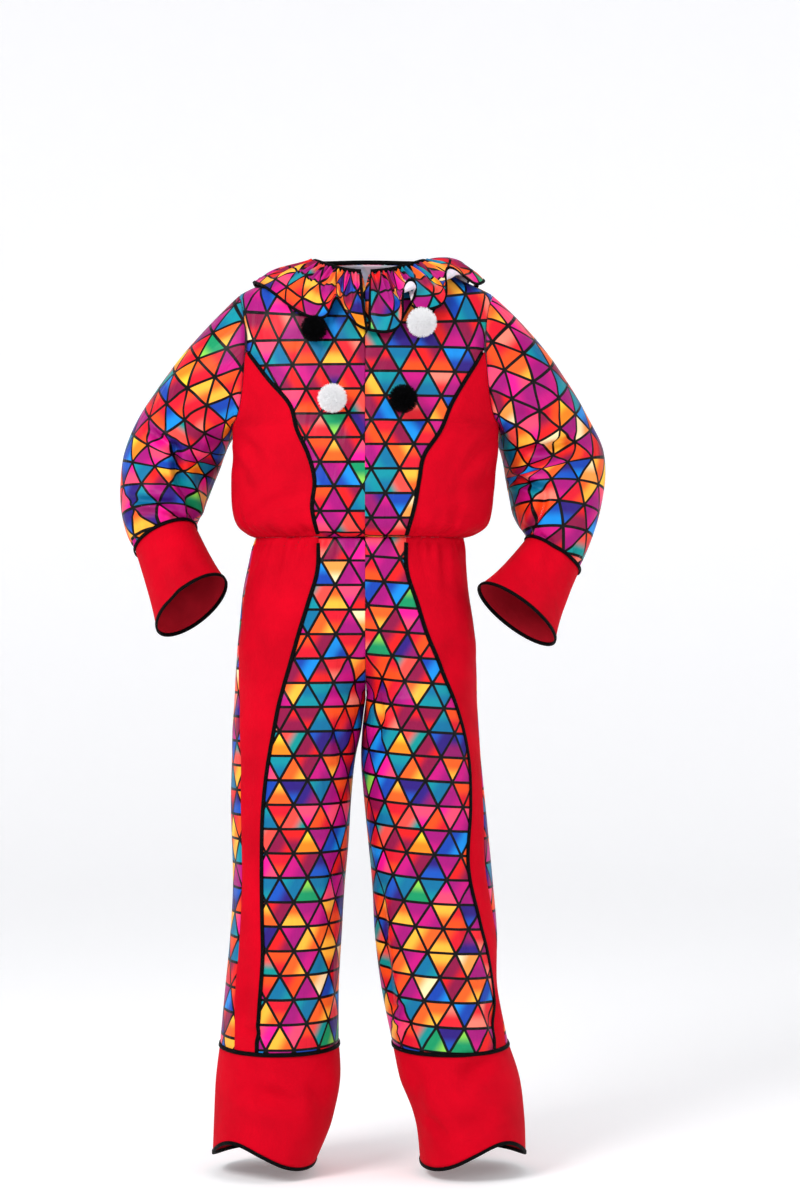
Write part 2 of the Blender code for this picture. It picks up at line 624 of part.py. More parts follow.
def slit_turn(t, side):
    """Where the centre front's edge is: the fronts meet, but for a short slit under the neck."""
    opening = NECK_SLIT * max(0.0, t - (NECK - 2)) / 2
    return trunk.moved(t, 0.0, opening) if side == LEFT else trunk.moved(t, 1.0, -opening)


def trunk_columns(columns):
    def count(t):
        if t in TRUNK_GATHERS:
            return columns.gathered
        return columns.neck if t >= NECK - 1 else columns.plain

    return count


def build_bodice():
    for side in (LEFT, RIGHT):
        word = word_of(side)

        def centre_edges(t):
            outer = bodice_seam_turn(t, side) if t <= SEAM_TOP else armhole_turns(t, side)[0]
            return (slit_turn(t, side), outer) if side == LEFT else (outer, slit_turn(t, side))

        def side_edges(t):
            inner, outer = bodice_seam_turn(t, side), armhole_turns(t, side)[0]
            return (inner, outer) if side == LEFT else (outer, inner)

        panel(
            f"bodice_front_centre_{word}",
            "printed satin",
            trunk,
            range(WAIST, NECK + 1),
            centre_edges,
            trunk_columns(FRONT_CENTRE),
            TRUNK_GATHERS,
            {WAIST},
        )
        panel(
            f"bodice_front_side_{word}",
            "red polyester",
            trunk,
            range(WAIST, SEAM_TOP + 1),
            side_edges,
            trunk_columns(FRONT_SIDE),
            TRUNK_GATHERS,
            {WAIST},
        )
        piped_rows = range(WAIST + 1, SEAM_TOP + 1)
        seam_piping(f"bodice_piping_{word}", trunk, piped_rows, lambda t: bodice_seam_turn(t, side))

    def back_edges(t):
        return armhole_turns(t, LEFT)[1], armhole_turns(t, RIGHT)[1]

    panel(
        "bodice_back",
        "printed satin",
        trunk,
        range(WAIST, NECK + 1),
        back_edges,
        trunk_columns(BODICE_BACK),
        TRUNK_GATHERS,
        {WAIST},
    )


def armhole_edge(side):
    """The armhole's seam as the sleeve's first loop: from under the arm up the front and down the back."""
    rows = range(ARMPIT, SHOULDER + 1)
    front = [trunk.point(t, armhole_turns(t, side)[0]) for t in rows]
    back = [trunk.point(t, armhole_turns(t, side)[1]) for t in rows]
    points = np.array(front + back[-2:0:-1] + front[:1])
    return mirrored(points, side) + np.array([SEAM_GAP, 0.0, 0.0])


def build_sleeve(side):
    word = word_of(side)
    edge = armhole_edge(side)
    skin = Skin(sleeve_loop(side, edge), last=CUFF_SEAM, outwards=-1)
    middle = edge[:-1].mean(axis=0)
    inward = unit((middle - edge[:-1]) * np.array([0.0, 1.0, 1.0]))
    outer_rows, inner_rows = [edge[:-1]], [edge[:-1] + inward * CLOTH]
    for t in range(1, CUFF_SEAM + 1):
        depth = SLEEVE_GATHERS.get(t, 0.0)
        count = 2 * CUFF_GATHERS if depth else SLEEVE_COLUMNS
        turns = skin.spaced(t, 0.0, 1.0, count)[:-1]
        points = skin.point(t, turns)
        normals = skin.level_normal(t, turns) if t == CUFF_SEAM else skin.normal(t, turns)
        points = points - normals * (depth * (np.arange(count) % 2))[:, None]
        outer_rows.append(points)
        inner_rows.append(points - normals * CLOTH)
    outer_rows = [mirrored(row, side) for row in outer_rows]
    inner_rows = [mirrored(row, side) for row in inner_rows]
    add_object(f"sleeve_{word}", *walled(outer_rows, inner_rows, closed=True), "printed satin")


def tube(name, finish, skin, rows, count, side):
    outer_rows, inner_rows = [], []
    for t in rows:
        turns = skin.spaced(t, 0.0, 1.0, count)[:-1]
        points = skin.point(t, turns)
        normals = skin.level_normal(t, turns) if t == 0 else skin.normal(t, turns)
        outer_rows.append(mirrored(points, side))
        inner_rows.append(mirrored(points - normals * CLOTH, side))
    return add_object(name, *walled(outer_rows, inner_rows, closed=True), finish)


def pipe_and_bind(piece, skin, side):
    """Piping on the seam of a cuff or hem band, its first loop, and binding on its edge, its last."""
    lift = SEAM_GAP + PIPING_CLEAR
    on_cloth = (lift, lift + PIPING_HEIGHT)
    ring_bar(f"{piece}_piping_{word_of(side)}", skin, 0.0, CUFF_COLUMNS, (0.0, PIPING_WIDTH), on_cloth, side)
    past_edge = (SEAM_GAP, SEAM_GAP + BINDING_WIDTH)
    spare = (BINDING_HEIGHT - CLOTH) / 2
    both_sides = (-CLOTH - spare, spare)
    ring_bar(f"{piece}_binding_{word_of(side)}", skin, skin.last, CUFF_COLUMNS, past_edge, both_sides, side)


def build_cuff(side):
    word = word_of(side)
    skin = Skin(cuff_loop(side), last=1.0, outwards=-1)
    tube(f"cuff_{word}", "red polyester", skin, CUFF_ROWS, CUFF_COLUMNS, side)
    pipe_and_bind("cuff", skin, side)


def build_trousers():
    for side in (LEFT, RIGHT):
        word = word_of(side)
        skin = Skin(leg_loop(side), last=HEM_SEAM, outwards=-1)

        def seam_turn(t):
            height = along_table(LEGS, t).height
            return skin.turn_at_x(t, at_height(TROUSER_SEAM, word, height), 0.0, 0.5)

        def side_turn(t):
            width = at_height(TROUSER_SEAM, "red_width", along_table(LEGS, t).height)
            return skin.moved(t, seam_turn(t), width)

        def columns(upper, lower):
            def count(t):
                if t in LEG_GATHERS:
                    return upper.gathered
                return upper.plain if t < CROTCH - 1 else LOWER_LEG[lower]

            return count

        rows = range(0, HEM_SEAM + 1)
        for name, finish, edges, upper in (
            ("front_centre", "printed satin", lambda t: (0.0, seam_turn(t)), FRONT_CENTRE),
            ("front_side", "red polyester", lambda t: (seam_turn(t), side_turn(t)), FRONT_SIDE),
            ("back", "printed satin", lambda t: (side_turn(t), 1.0), TROUSER_BACK),
        ):
            counts = columns(upper, name)
            piece = f"trouser_{name}_{word}"
            panel(piece, finish, skin, rows, edges, counts, LEG_GATHERS, {0, HEM_SEAM}, side)
        piped_rows = [*range(1, HEM_SEAM), HEM_SEAM - PIPING_END]
        seam_piping(f"trouser_piping_{word}", skin, piped_rows, seam_turn, side)


def build_hem_band(side):
    word = word_of(side)
    last = len(BANDS) - 1
    on_seam = band_loop(side)

    def below_seam(t, turns):
        return on_seam(t, turns) - np.array([0.0, 0.0, SEAM_GAP * (1 - t / last)])

    skin = Skin(below_seam, last=last, outwards=-1)
    tube(f"hem_band_{word}", "red polyester", skin, range(len(BANDS)), CUFF_COLUMNS, side)
    pipe_and_bind("hem", skin, side)


def ruffle_edges(angle):
    """Points of the ruffle's sewn edge and free edge at angles from the centre front."""
    across, ahead = np.sin(angle), np.cos(angle)
    neck = trunk.point(NECK, (angle / (2 * np.pi)) % 1.0)
    away = unit(np.stack([across, -ahead, np.zeros_like(angle)], axis=-1))
    sewn = neck + away * RUFFLE_SEWN_OUT + np.array([0.0, 0.0, RUFFLE_SEWN_UP])
    x = np.where(across > 0, RUFFLE_EDGE.left, RUFFLE_EDGE.right) * across
    y = -np.where(ahead > 0, RUFFLE_EDGE.front, RUFFLE_EDGE.back) * ahead
    end_z = np.where(ahead > 0, RUFFLE_EDGE.front_z, RUFFLE_EDGE.back_z)
    bend = np.where(ahead > 0, ahead**2, np.abs(ahead) ** 3)
    z = RUFFLE_EDGE.side_z + (end_z - RUFFLE_EDGE.side_z) * bend
    turned = np.minimum(angle, 2 * np.pi - angle)
    z = z + RUFFLE_RISE * np.exp(-(((turned - RUFFLE_RISE_ANGLE) / RUFFLE_RISE_SPREAD) ** 2))
    return sewn, np.stack([x, y, z], axis=-1)


def ruffle_rows(shares, count):
    """Rows of points and normals across the ruffle, with its waves."""
    ends = NECK_ENDS * 2 * np.pi
    angle = np.linspace(ends, 2 * np.pi - ends, count + 1)
    sewn, free = ruffle_edges(angle)
    round_it = unit(np.gradient(free, axis=0))
    over = unit(np.cross(round_it, free - sewn)) * -1.0
    lift = RUFFLE_EDGE.lift + RUFFLE_BACK_LIFT * np.clip(-np.cos(angle), 0, 1) ** 0.5
    middle = (sewn + free) / 2 + over * lift[:, None]
    phase = np.linspace(0, RUFFLE_WAVES, count + 1) * 2 * np.pi
    rows = []
    for share in shares:
        base = sewn * (1 - share) ** 2 + middle * 2 * share * (1 - share) + free * share**2
        height = RUFFLE_WAVE_HEIGHT * share**0.8
        sway = RUFFLE_WAVE_SWAY * share
        lifted = over * (height * (np.cos(phase) + RUFFLE_WAVE_BIAS))[:, None]
        rows.append(base + lifted + round_it * (sway * np.sin(2 * phase))[:, None])
    return np.array(rows)


def build_ruffle():
    rows = ruffle_rows(RUFFLE_ROWS, RUFFLE_WAVES * RUFFLE_POINTS_PER_WAVE)
    round_it = np.gradient(rows, axis=1)
    down_it = np.gradient(rows, axis=0)
    out = unit(np.cross(down_it, round_it))
    add_object("collar_ruffle", *walled(list(rows), list(rows - out * CLOTH)), "printed satin")
    path = np.concatenate([rows[:-1, 0], rows[-1], rows[-2::-1, -1]])
    normals = np.concatenate([out[:-1, 0], out[-1], out[-2::-1, -1]])
    down, across = unit(down_it), unit(round_it)
    corner_first, corner_last = unit(down[-1, 0] - across[-1, 0]), unit(down[-1, -1] + across[-1, -1])
    beyond = np.concatenate(
        [-across[:-1, 0], [corner_first], down[-1, 1:-1], [corner_last], across[-2::-1, -1]]
    )
    spare = (BINDING_HEIGHT - CLOTH) / 2
    bar(
        "collar_edge_binding",
        "black bias tape",
        path,
        beyond,
        (SEAM_GAP, SEAM_GAP + RUFFLE_BINDING),
        normals,
        (-CLOTH - spare, spare),
    )


def build_neck_binding():
    turns = trunk.spaced(NECK, NECK_ENDS, 1 - NECK_ENDS, NECK_COLUMNS)
    points, out = trunk.point(NECK, turns), trunk.normal(NECK, turns)
    level = unit(out * np.array([1.0, 1.0, 0.0]))
    up = np.tile(np.array([0.0, 0.0, 1.0]), (len(turns), 1))
    low = SEAM_GAP + PIPING_CLEAR
    across, height = (-CLOTH, RUFFLE_SEWN_OUT - CLOTH), (low, low + NECK_BINDING)
    bar("neck_binding", "black bias tape", points, level, across, up, height)


def build_zip():
    """The tape behind the centre front, from under the slit to below the waist."""
    upper, lower = range(NECK - 2, WAIST - 1, -1), range(1, ZIP_LAST_ROW)
    trousers = leg_loop(LEFT)
    points = np.array([trunk.point(t, 0.0) for t in upper] + [trousers(t, np.zeros(1))[0] for t in lower])
    gathers = [TRUNK_GATHERS.get(t, 0.0) for t in upper] + [LEG_GATHERS.get(t, 0.0) for t in lower]
    down = unit(np.gradient(points, axis=0))
    out = np.stack([np.zeros(len(points)), down[:, 2], -down[:, 1]], axis=-1)
    across = np.tile(np.array([1.0, 0.0, 0.0]), (len(points), 1))
    spread = ZIP_TAPE_WIDTH / 2
    points = points - out * (CLOTH + ZIP_BEHIND + np.array(gathers))[:, None]
    bar("zip_tape", "zip tape", points, across, (-spread, spread), out, (-ZIP_TAPE_THICKNESS, 0.0))


def build_pompom(row):
    """A ball of yarn: locks stand out of one core, which lies against the bodice."""
    panel_below = bpy.data.objects["bodice_front_centre_" + ("left" if row.x > 0 else "right")].data
    tree = BVHTree.FromPolygons(
        [vertex.co for vertex in panel_below.vertices], [face.vertices for face in panel_below.polygons]
    )
    seat, out, _, _ = tree.ray_cast(Vector((row.x, POMPOM_AHEAD, row.z)), Vector((0.0, 1.0, 0.0)))
    ball = bmesh.new()
    bmesh.ops.create_icosphere(ball, subdivisions=2, radius=POMPOM_CORE)
    depth = max(-vertex.co.dot(out) for vertex in ball.verts)
    centre = seat + out * (depth + POMPOM_GAP)
    locks = [
        face for face in ball.faces
        if face.calc_center_median().normalized().dot(out) > POMPOM_LOWEST_LOCK
    ]
    for tip in bmesh.ops.poke(ball, faces=locks)["verts"]:
        tip.co = tip.co.normalized() * POMPOM_RADIUS
    ball.verts.index_update()
    points = [vertex.co + centre for vertex in ball.verts]
    faces = [tuple(vertex.index for vertex in face.verts) for face in ball.faces]
    ball.free()
    add_object(row.name, points, faces, row.yarn)


def main():
    clear_scene()
    build_bodice()
    build_neck_binding()
    build_ruffle()
    build_zip()
    for side in (LEFT, RIGHT):
        build_sleeve(side)
        build_cuff(side)
    build_trousers()
    for side in (LEFT, RIGHT):
        build_hem_band(side)
    for row in POMPOMS:
        build_pompom(row)


main()
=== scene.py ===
"""Looks of the clown suit: thin printed satin and red polyester over the frame's solids, with trims and yarn.

Metres, in the frame's own axes: +Z up, the front faces -Y, and the wearer's left side is at +X. The suit's form
is worked out from the same loops as its solids, with more rows and columns, and then creased.
"""

from __future__ import annotations

import logging
from collections.abc import Callable, Iterable, Sequence
from dataclasses import dataclass, field
from enum import Enum
from typing import NamedTuple

import bpy
import numpy as np
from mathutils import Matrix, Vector
from mathutils.bvhtree import BVHTree

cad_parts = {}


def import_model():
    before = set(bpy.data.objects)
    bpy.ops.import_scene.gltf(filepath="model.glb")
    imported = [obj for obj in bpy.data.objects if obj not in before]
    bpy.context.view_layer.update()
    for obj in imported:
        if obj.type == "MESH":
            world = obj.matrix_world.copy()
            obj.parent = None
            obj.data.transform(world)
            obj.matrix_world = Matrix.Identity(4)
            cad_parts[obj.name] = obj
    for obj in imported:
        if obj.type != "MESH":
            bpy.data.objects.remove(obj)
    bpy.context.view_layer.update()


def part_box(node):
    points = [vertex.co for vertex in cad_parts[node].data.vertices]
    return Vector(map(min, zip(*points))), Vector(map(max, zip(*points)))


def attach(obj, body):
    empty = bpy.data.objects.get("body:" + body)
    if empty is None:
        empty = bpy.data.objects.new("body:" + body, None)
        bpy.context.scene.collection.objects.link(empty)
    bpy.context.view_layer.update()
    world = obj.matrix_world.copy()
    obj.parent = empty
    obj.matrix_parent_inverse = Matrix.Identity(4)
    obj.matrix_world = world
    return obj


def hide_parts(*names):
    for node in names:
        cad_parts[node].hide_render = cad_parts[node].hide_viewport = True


LOG = logging.getLogger("clown_suit")
Array = np.ndarray

# The cloth's thickness, the girth of a tape's own map, and the name of each cut's map in metres.
CLOTH = 0.0009
TAPE_GIRTH = 0.020
FLAT_CUT = "flat_cut"
# A wave texture of scale 1 has a band every this many metres.
BAND = 0.314
SAMPLES = 480


class Side(Enum):
    """The wearer's sides, and the sign of X there."""

    LEFT = 1
    RIGHT = -1

    @property
    def word(self) -> str:
        """The side's word in a node's name."""
        return self.name.lower()


class Facing(Enum):
    """Which side of the suit a crease lies on, as the sign of Y there."""

    FRONT = -1
    BACK = 1


class Slot(Enum):
    """The kinds of material that the suit's pieces are made of."""

    SATIN = "printed_satin"
    RED = "red_polyester"
    TAPE = "black_bias_tape"
    WHITE_YARN = "white_yarn"
    BLACK_YARN = "black_yarn"
    ZIP = "zip_tape"


# Sizes of the loops, the same as the solids'.
class Trunk(NamedTuple):
    """A loop round the trunk: heights at front, side and back, half-widths, half-depths and squareness."""

    front_z: float
    side_z: float
    back_z: float
    right: float
    left: float
    front: float
    back: float
    squareness: float
    armhole: float


TRUNK = (
    Trunk(-0.4220, -0.4220, -0.4220, 0.1840, 0.1630, 0.112, 0.112, 2.3, 0.2),
    Trunk(-0.4165, -0.4165, -0.4165, 0.1970, 0.1820, 0.126, 0.126, 2.3, 0.2),
    Trunk(-0.4020, -0.4020, -0.4020, 0.2140, 0.2020, 0.139, 0.139, 2.3, 0.2),
    Trunk(-0.3770, -0.3770, -0.3770, 0.2225, 0.2100, 0.145, 0.146, 2.3, 0.2),
    Trunk(-0.3360, -0.3360, -0.3360, 0.2245, 0.2140, 0.144, 0.146, 2.3, 0.2),
    Trunk(-0.2870, -0.2870, -0.2870, 0.2222, 0.2195, 0.139, 0.141, 2.3, 0.2225),
    Trunk(-0.2400, -0.2400, -0.2400, 0.2230, 0.2215, 0.134, 0.136, 2.3, 0.2225),
    Trunk(-0.2260, -0.2260, -0.2260, 0.2252, 0.2240, 0.132, 0.134, 2.3, 0.2145),
    Trunk(-0.2040, -0.2040, -0.2040, 0.2275, 0.2265, 0.130, 0.132, 2.3, 0.2075),
    Trunk(-0.1630, -0.1630, -0.1630, 0.2300, 0.2300, 0.127, 0.130, 2.3, 0.2020),
    Trunk(-0.1180, -0.1180, -0.1150, 0.2300, 0.2300, 0.122, 0.128, 2.3, 0.1990),
    Trunk(-0.0850, -0.0780, -0.0700, 0.2270, 0.2270, 0.117, 0.125, 2.3, 0.1990),
    Trunk(-0.0620, -0.0460, -0.0350, 0.2220, 0.2220, 0.112, 0.121, 2.2, 0.2030),
    Trunk(-0.0480, -0.0270, -0.0120, 0.2155, 0.2155, 0.107, 0.117, 2.1, 0.2080),
    Trunk(-0.0400, -0.0180, -0.0020, 0.2105, 0.2105, 0.104, 0.115, 2.1, 0.2105),
    Trunk(-0.0270, -0.0060, 0.0100, 0.1880, 0.1880, 0.098, 0.110, 2.1, 0.19),
    Trunk(-0.0130, 0.0080, 0.0220, 0.1560, 0.1570, 0.089, 0.102, 2.1, 0.19),
    Trunk(0.0000, 0.0230, 0.0330, 0.1210, 0.1260, 0.079, 0.094, 2.1, 0.19),
    Trunk(0.0110, 0.0350, 0.0430, 0.0840, 0.0950, 0.068, 0.085, 2.1, 0.19),
)
WAIST, ARMPIT, SEAM_TOP, SHOULDER, NECK = 0, 6, 10, 14, 18


class PrincessSeam(NamedTuple):
    """Distance of a front seam from the centre at a height, on the wearer's right and left."""

    height: float
    right: float
    left: float


BODICE_SEAM = (
    PrincessSeam(-0.4220, 0.0770, 0.0670),
    PrincessSeam(-0.3750, 0.0860, 0.0800),
    PrincessSeam(-0.3300, 0.0820, 0.0880),
    PrincessSeam(-0.2900, 0.0920, 0.0960),
    PrincessSeam(-0.2500, 0.1100, 0.1220),
    PrincessSeam(-0.2050, 0.1240, 0.1410),
    PrincessSeam(-0.1650, 0.1580, 0.1640),
    PrincessSeam(-0.1150, 0.1960, 0.1960),
)


class TrouserSeam(NamedTuple):
    """Distance of the trousers' front seam from the centre, and the width of the red panel outside it."""

    height: float
    right: float
    left: float
    red_width: float


TROUSER_SEAM = (
    TrouserSeam(-1.2620, 0.1780, 0.2120, 0.046),
    TrouserSeam(-1.1830, 0.1730, 0.2130, 0.052),
    TrouserSeam(-1.1420, 0.1700, 0.2080, 0.054),
    TrouserSeam(-1.0980, 0.1680, 0.2000, 0.054),
    TrouserSeam(-1.0500, 0.1690, 0.1870, 0.050),
    TrouserSeam(-0.9620, 0.1700, 0.1690, 0.046),
    TrouserSeam(-0.8580, 0.1670, 0.1730, 0.052),
    TrouserSeam(-0.7850, 0.1580, 0.1700, 0.064),
    TrouserSeam(-0.7420, 0.1500, 0.1620, 0.078),
    TrouserSeam(-0.6870, 0.1390, 0.1450, 0.096),
    TrouserSeam(-0.6350, 0.1240, 0.1240, 0.116),
    TrouserSeam(-0.5780, 0.1080, 0.1000, 0.136),
    TrouserSeam(-0.5300, 0.0930, 0.0850, 0.148),
    TrouserSeam(-0.4770, 0.0780, 0.0680, 0.152),
    TrouserSeam(-0.4223, 0.0770, 0.0670, 0.152),
)


class Leg(NamedTuple):
    """A loop round the hips or a leg; split goes from 0, one loop round both legs, to 1, a loop round each."""

    height: float
    right_inner: float
    right_outer: float
    left_inner: float
    left_outer: float
    front: float
    back: float
    square: float
    split: float


LEGS = (
    Leg(-0.4223, 0.0, 0.1840, 0.0, 0.1630, 0.112, 0.112, 2.30, 0.0),
    Leg(-0.4400, 0.0, 0.1905, 0.0, 0.1670, 0.117, 0.119, 2.35, 0.0),
    Leg(-0.4650, 0.0, 0.1960, 0.0, 0.1685, 0.120, 0.126, 2.40, 0.0),
    Leg(-0.5100, 0.0, 0.2050, 0.0, 0.1720, 0.122, 0.133, 2.50, 0.0),
    Leg(-0.5600, 0.0, 0.2100, 0.0, 0.1790, 0.122, 0.136, 2.60, 0.06),
    Leg(-0.5960, 0.0, 0.2130, 0.0, 0.1830, 0.121, 0.135, 2.70, 0.18),
    Leg(-0.6230, 0.0, 0.2150, 0.0, 0.1835, 0.120, 0.134, 2.80, 0.33),
    Leg(-0.6500, 0.0, 0.2170, 0.0, 0.1845, 0.119, 0.132, 2.90, 0.54),
    Leg(-0.6720, 0.0, 0.2180, 0.0, 0.1850, 0.118, 0.129, 3.00, 0.77),
    Leg(-0.6880, 0.0002, 0.2190, 0.0002, 0.1850, 0.117, 0.126, 3.00, 1.0),
    Leg(-0.7070, 0.0030, 0.2200, -0.0024, 0.1860, 0.116, 0.122, 3.00, 1.0),
    Leg(-0.7430, 0.0078, 0.2225, -0.0065, 0.1885, 0.114, 0.116, 3.00, 1.0),
    Leg(-0.7920, 0.0180, 0.2233, -0.0083, 0.1917, 0.111, 0.110, 3.00, 1.0),
    Leg(-0.8580, 0.0245, 0.2250, -0.0033, 0.1983, 0.107, 0.104, 3.00, 1.0),
    Leg(-0.9250, 0.0285, 0.2233, 0.0033, 0.2050, 0.103, 0.100, 3.00, 1.0),
    Leg(-1.0000, 0.0350, 0.2217, 0.0105, 0.2120, 0.100, 0.096, 3.00, 1.0),
    Leg(-1.0800, 0.0400, 0.2260, 0.0150, 0.2185, 0.099, 0.096, 3.00, 1.0),
    Leg(-1.1700, 0.0450, 0.2345, 0.0260, 0.2190, 0.100, 0.099, 3.00, 1.0),
    Leg(-1.2620, 0.0450, 0.2430, 0.0440, 0.2370, 0.103, 0.103, 3.00, 1.0),
)
CROTCH, HEM_SEAM = 9, 18
LEG_SQUARENESS = 2.1
HEM_TILT = 0.06


class Band(NamedTuple):
    """A loop of a hem band; rise is how far the edge is lifted over the instep."""

    height: float
    right_inner: float
    right_outer: float
    left_inner: float
    left_outer: float
    depth: float
    rise: float


BANDS = (
    Band(-1.2620, 0.0450, 0.2430, 0.0440, 0.2370, 0.103, 0.0),
    Band(-1.3200, 0.0430, 0.2500, 0.0570, 0.2560, 0.108, 0.0),
    Band(-1.3900, 0.0560, 0.2530, 0.0820, 0.2640, 0.112, 0.018),
    Band(-1.4560, 0.0830, 0.2550, 0.0900, 0.2660, 0.112, 0.050),
)
INSTEP_TURN = 0.34
INSTEP_SPREAD = 0.19


class Sleeve(NamedTuple):
    """A loop of a sleeve: its two sides as seen from the front, its centre's y and its half-depth."""

    outer_x: float
    outer_z: float
    inner_x: float
    inner_z: float
    y: float
    deep: float


SLEEVES = {
    Side.LEFT: (
        Sleeve(0.2110, -0.018, 0.2235, -0.240, 0.000, 0.078),
        Sleeve(0.2720, -0.075, 0.2290, -0.262, 0.012, 0.080),
        Sleeve(0.3100, -0.125, 0.2300, -0.278, 0.026, 0.080),
        Sleeve(0.3470, -0.175, 0.2310, -0.292, 0.040, 0.079),
        Sleeve(0.3770, -0.225, 0.2325, -0.306, 0.052, 0.078),
        Sleeve(0.3980, -0.268, 0.2340, -0.319, 0.058, 0.077),
        Sleeve(0.4030, -0.312, 0.2370, -0.335, 0.056, 0.074),
        Sleeve(0.3980, -0.353, 0.2410, -0.356, 0.049, 0.070),
        Sleeve(0.3885, -0.393, 0.2460, -0.380, 0.040, 0.064),
        Sleeve(0.3745, -0.433, 0.2570, -0.402, 0.031, 0.057),
        Sleeve(0.3567, -0.477, 0.2700, -0.420, 0.024, 0.047),
    ),
    Side.RIGHT: (
        Sleeve(0.2110, -0.018, 0.2235, -0.240, 0.000, 0.078),
        Sleeve(0.2690, -0.075, 0.2290, -0.254, 0.012, 0.080),
        Sleeve(0.3130, -0.125, 0.2305, -0.262, 0.026, 0.080),
        Sleeve(0.3530, -0.175, 0.2345, -0.272, 0.040, 0.079),
        Sleeve(0.3865, -0.225, 0.2400, -0.286, 0.052, 0.078),
        Sleeve(0.4080, -0.278, 0.2470, -0.305, 0.058, 0.077),
        Sleeve(0.4140, -0.328, 0.2565, -0.328, 0.056, 0.074),
        Sleeve(0.4130, -0.367, 0.2660, -0.352, 0.049, 0.070),
        Sleeve(0.4060, -0.403, 0.2740, -0.373, 0.040, 0.064),
        Sleeve(0.3965, -0.428, 0.2810, -0.387, 0.031, 0.057),
        Sleeve(0.3850, -0.446, 0.2880, -0.397, 0.024, 0.047),
    ),
}
CUFF_SEAM = 10
ARMHOLE_BLEND = 2.0


class Mouth(NamedTuple):
    """The loop at a cuff's mouth: two sides as seen from the front, centre y, half-depth and facing."""

    outer_x: float
    outer_z: float
    inner_x: float
    inner_z: float
    y: float
    deep: float
    facing_y: float


MOUTHS = {
    Side.LEFT: Mouth(0.3117, -0.594, 0.1900, -0.499, -0.046, 0.070, -0.32),
    Side.RIGHT: Mouth(0.3417, -0.577, 0.2350, -0.486, -0.046, 0.066, -0.42),
}


CREASE_DEPTH = 1.35


class Crease(NamedTuple):
    """A soft ridge (height above 0) or trough between two places seen from the front, bowed sideways."""

    x0: float
    z0: float
    x1: float
    z1: float
    width: float
    height: float
    bow: float = 0.0
    facing: Facing = Facing.FRONT


def unit(vectors: Array) -> Array:
    """The vectors at length 1."""
    return vectors / np.maximum(np.linalg.norm(vectors, axis=-1, keepdims=True), 1e-12)


def power(values: Array, exponent: float) -> Array:
    """The values' size to a power, with their sign kept."""
    return np.sign(values) * np.abs(values) ** exponent


def smooth_step(value: Array | float) -> Array | float:
    """Goes smoothly from 0 to 1 as the value does."""
    held = np.clip(value, 0.0, 1.0)
    return held * held * (3 - 2 * held)


def between(ends: Sequence[Array], slopes: Sequence[Array], f: float) -> Array:
    """A value at fraction f of a smooth curve from one end to the other, given the slope at each."""
    return (
        (2 * f**3 - 3 * f**2 + 1) * ends[0]
        + (f**3 - 2 * f**2 + f) * slopes[0]
        + (3 * f**2 - 2 * f**3) * ends[1]
        + (f**3 - f**2) * slopes[1]
    )


def along_table(table: Sequence[tuple], t: float) -> tuple:
    """The table's row at a fractional index, on a smooth curve through its rows."""
    i = int(np.clip(np.floor(t), 0, len(table) - 2))
    near = [np.array(table[int(np.clip(i + k, 0, len(table) - 1))]) for k in (-1, 0, 1, 2)]
    slopes = (near[2] - near[0]) / 2, (near[3] - near[1]) / 2
    return type(table[0])(*between(near[1:3], slopes, t - i))


def at_height(table: Sequence[tuple], column: str, height: float) -> float:
    """A column's value at a height, on a smooth curve through the table's rows."""
    heights = np.array([row.height for row in table])
    values = np.array([getattr(row, column) for row in table])
    if heights[0] > heights[-1]:
        heights, values = heights[::-1], values[::-1]
    slopes = np.gradient(values, heights)
    height = float(np.clip(height, heights[0], heights[-1]))
    i = int(np.clip(np.searchsorted(heights, height) - 1, 0, len(heights) - 2))
    step = heights[i + 1] - heights[i]
    return float(between(values[i:i + 2], step * slopes[i:i + 2], (height - heights[i]) / step))


def run_along(points: Array) -> Array:
    """The distance along a line of points at each of them."""
    return np.concatenate([[0.0], np.cumsum(np.linalg.norm(np.diff(points, axis=0), axis=1))])


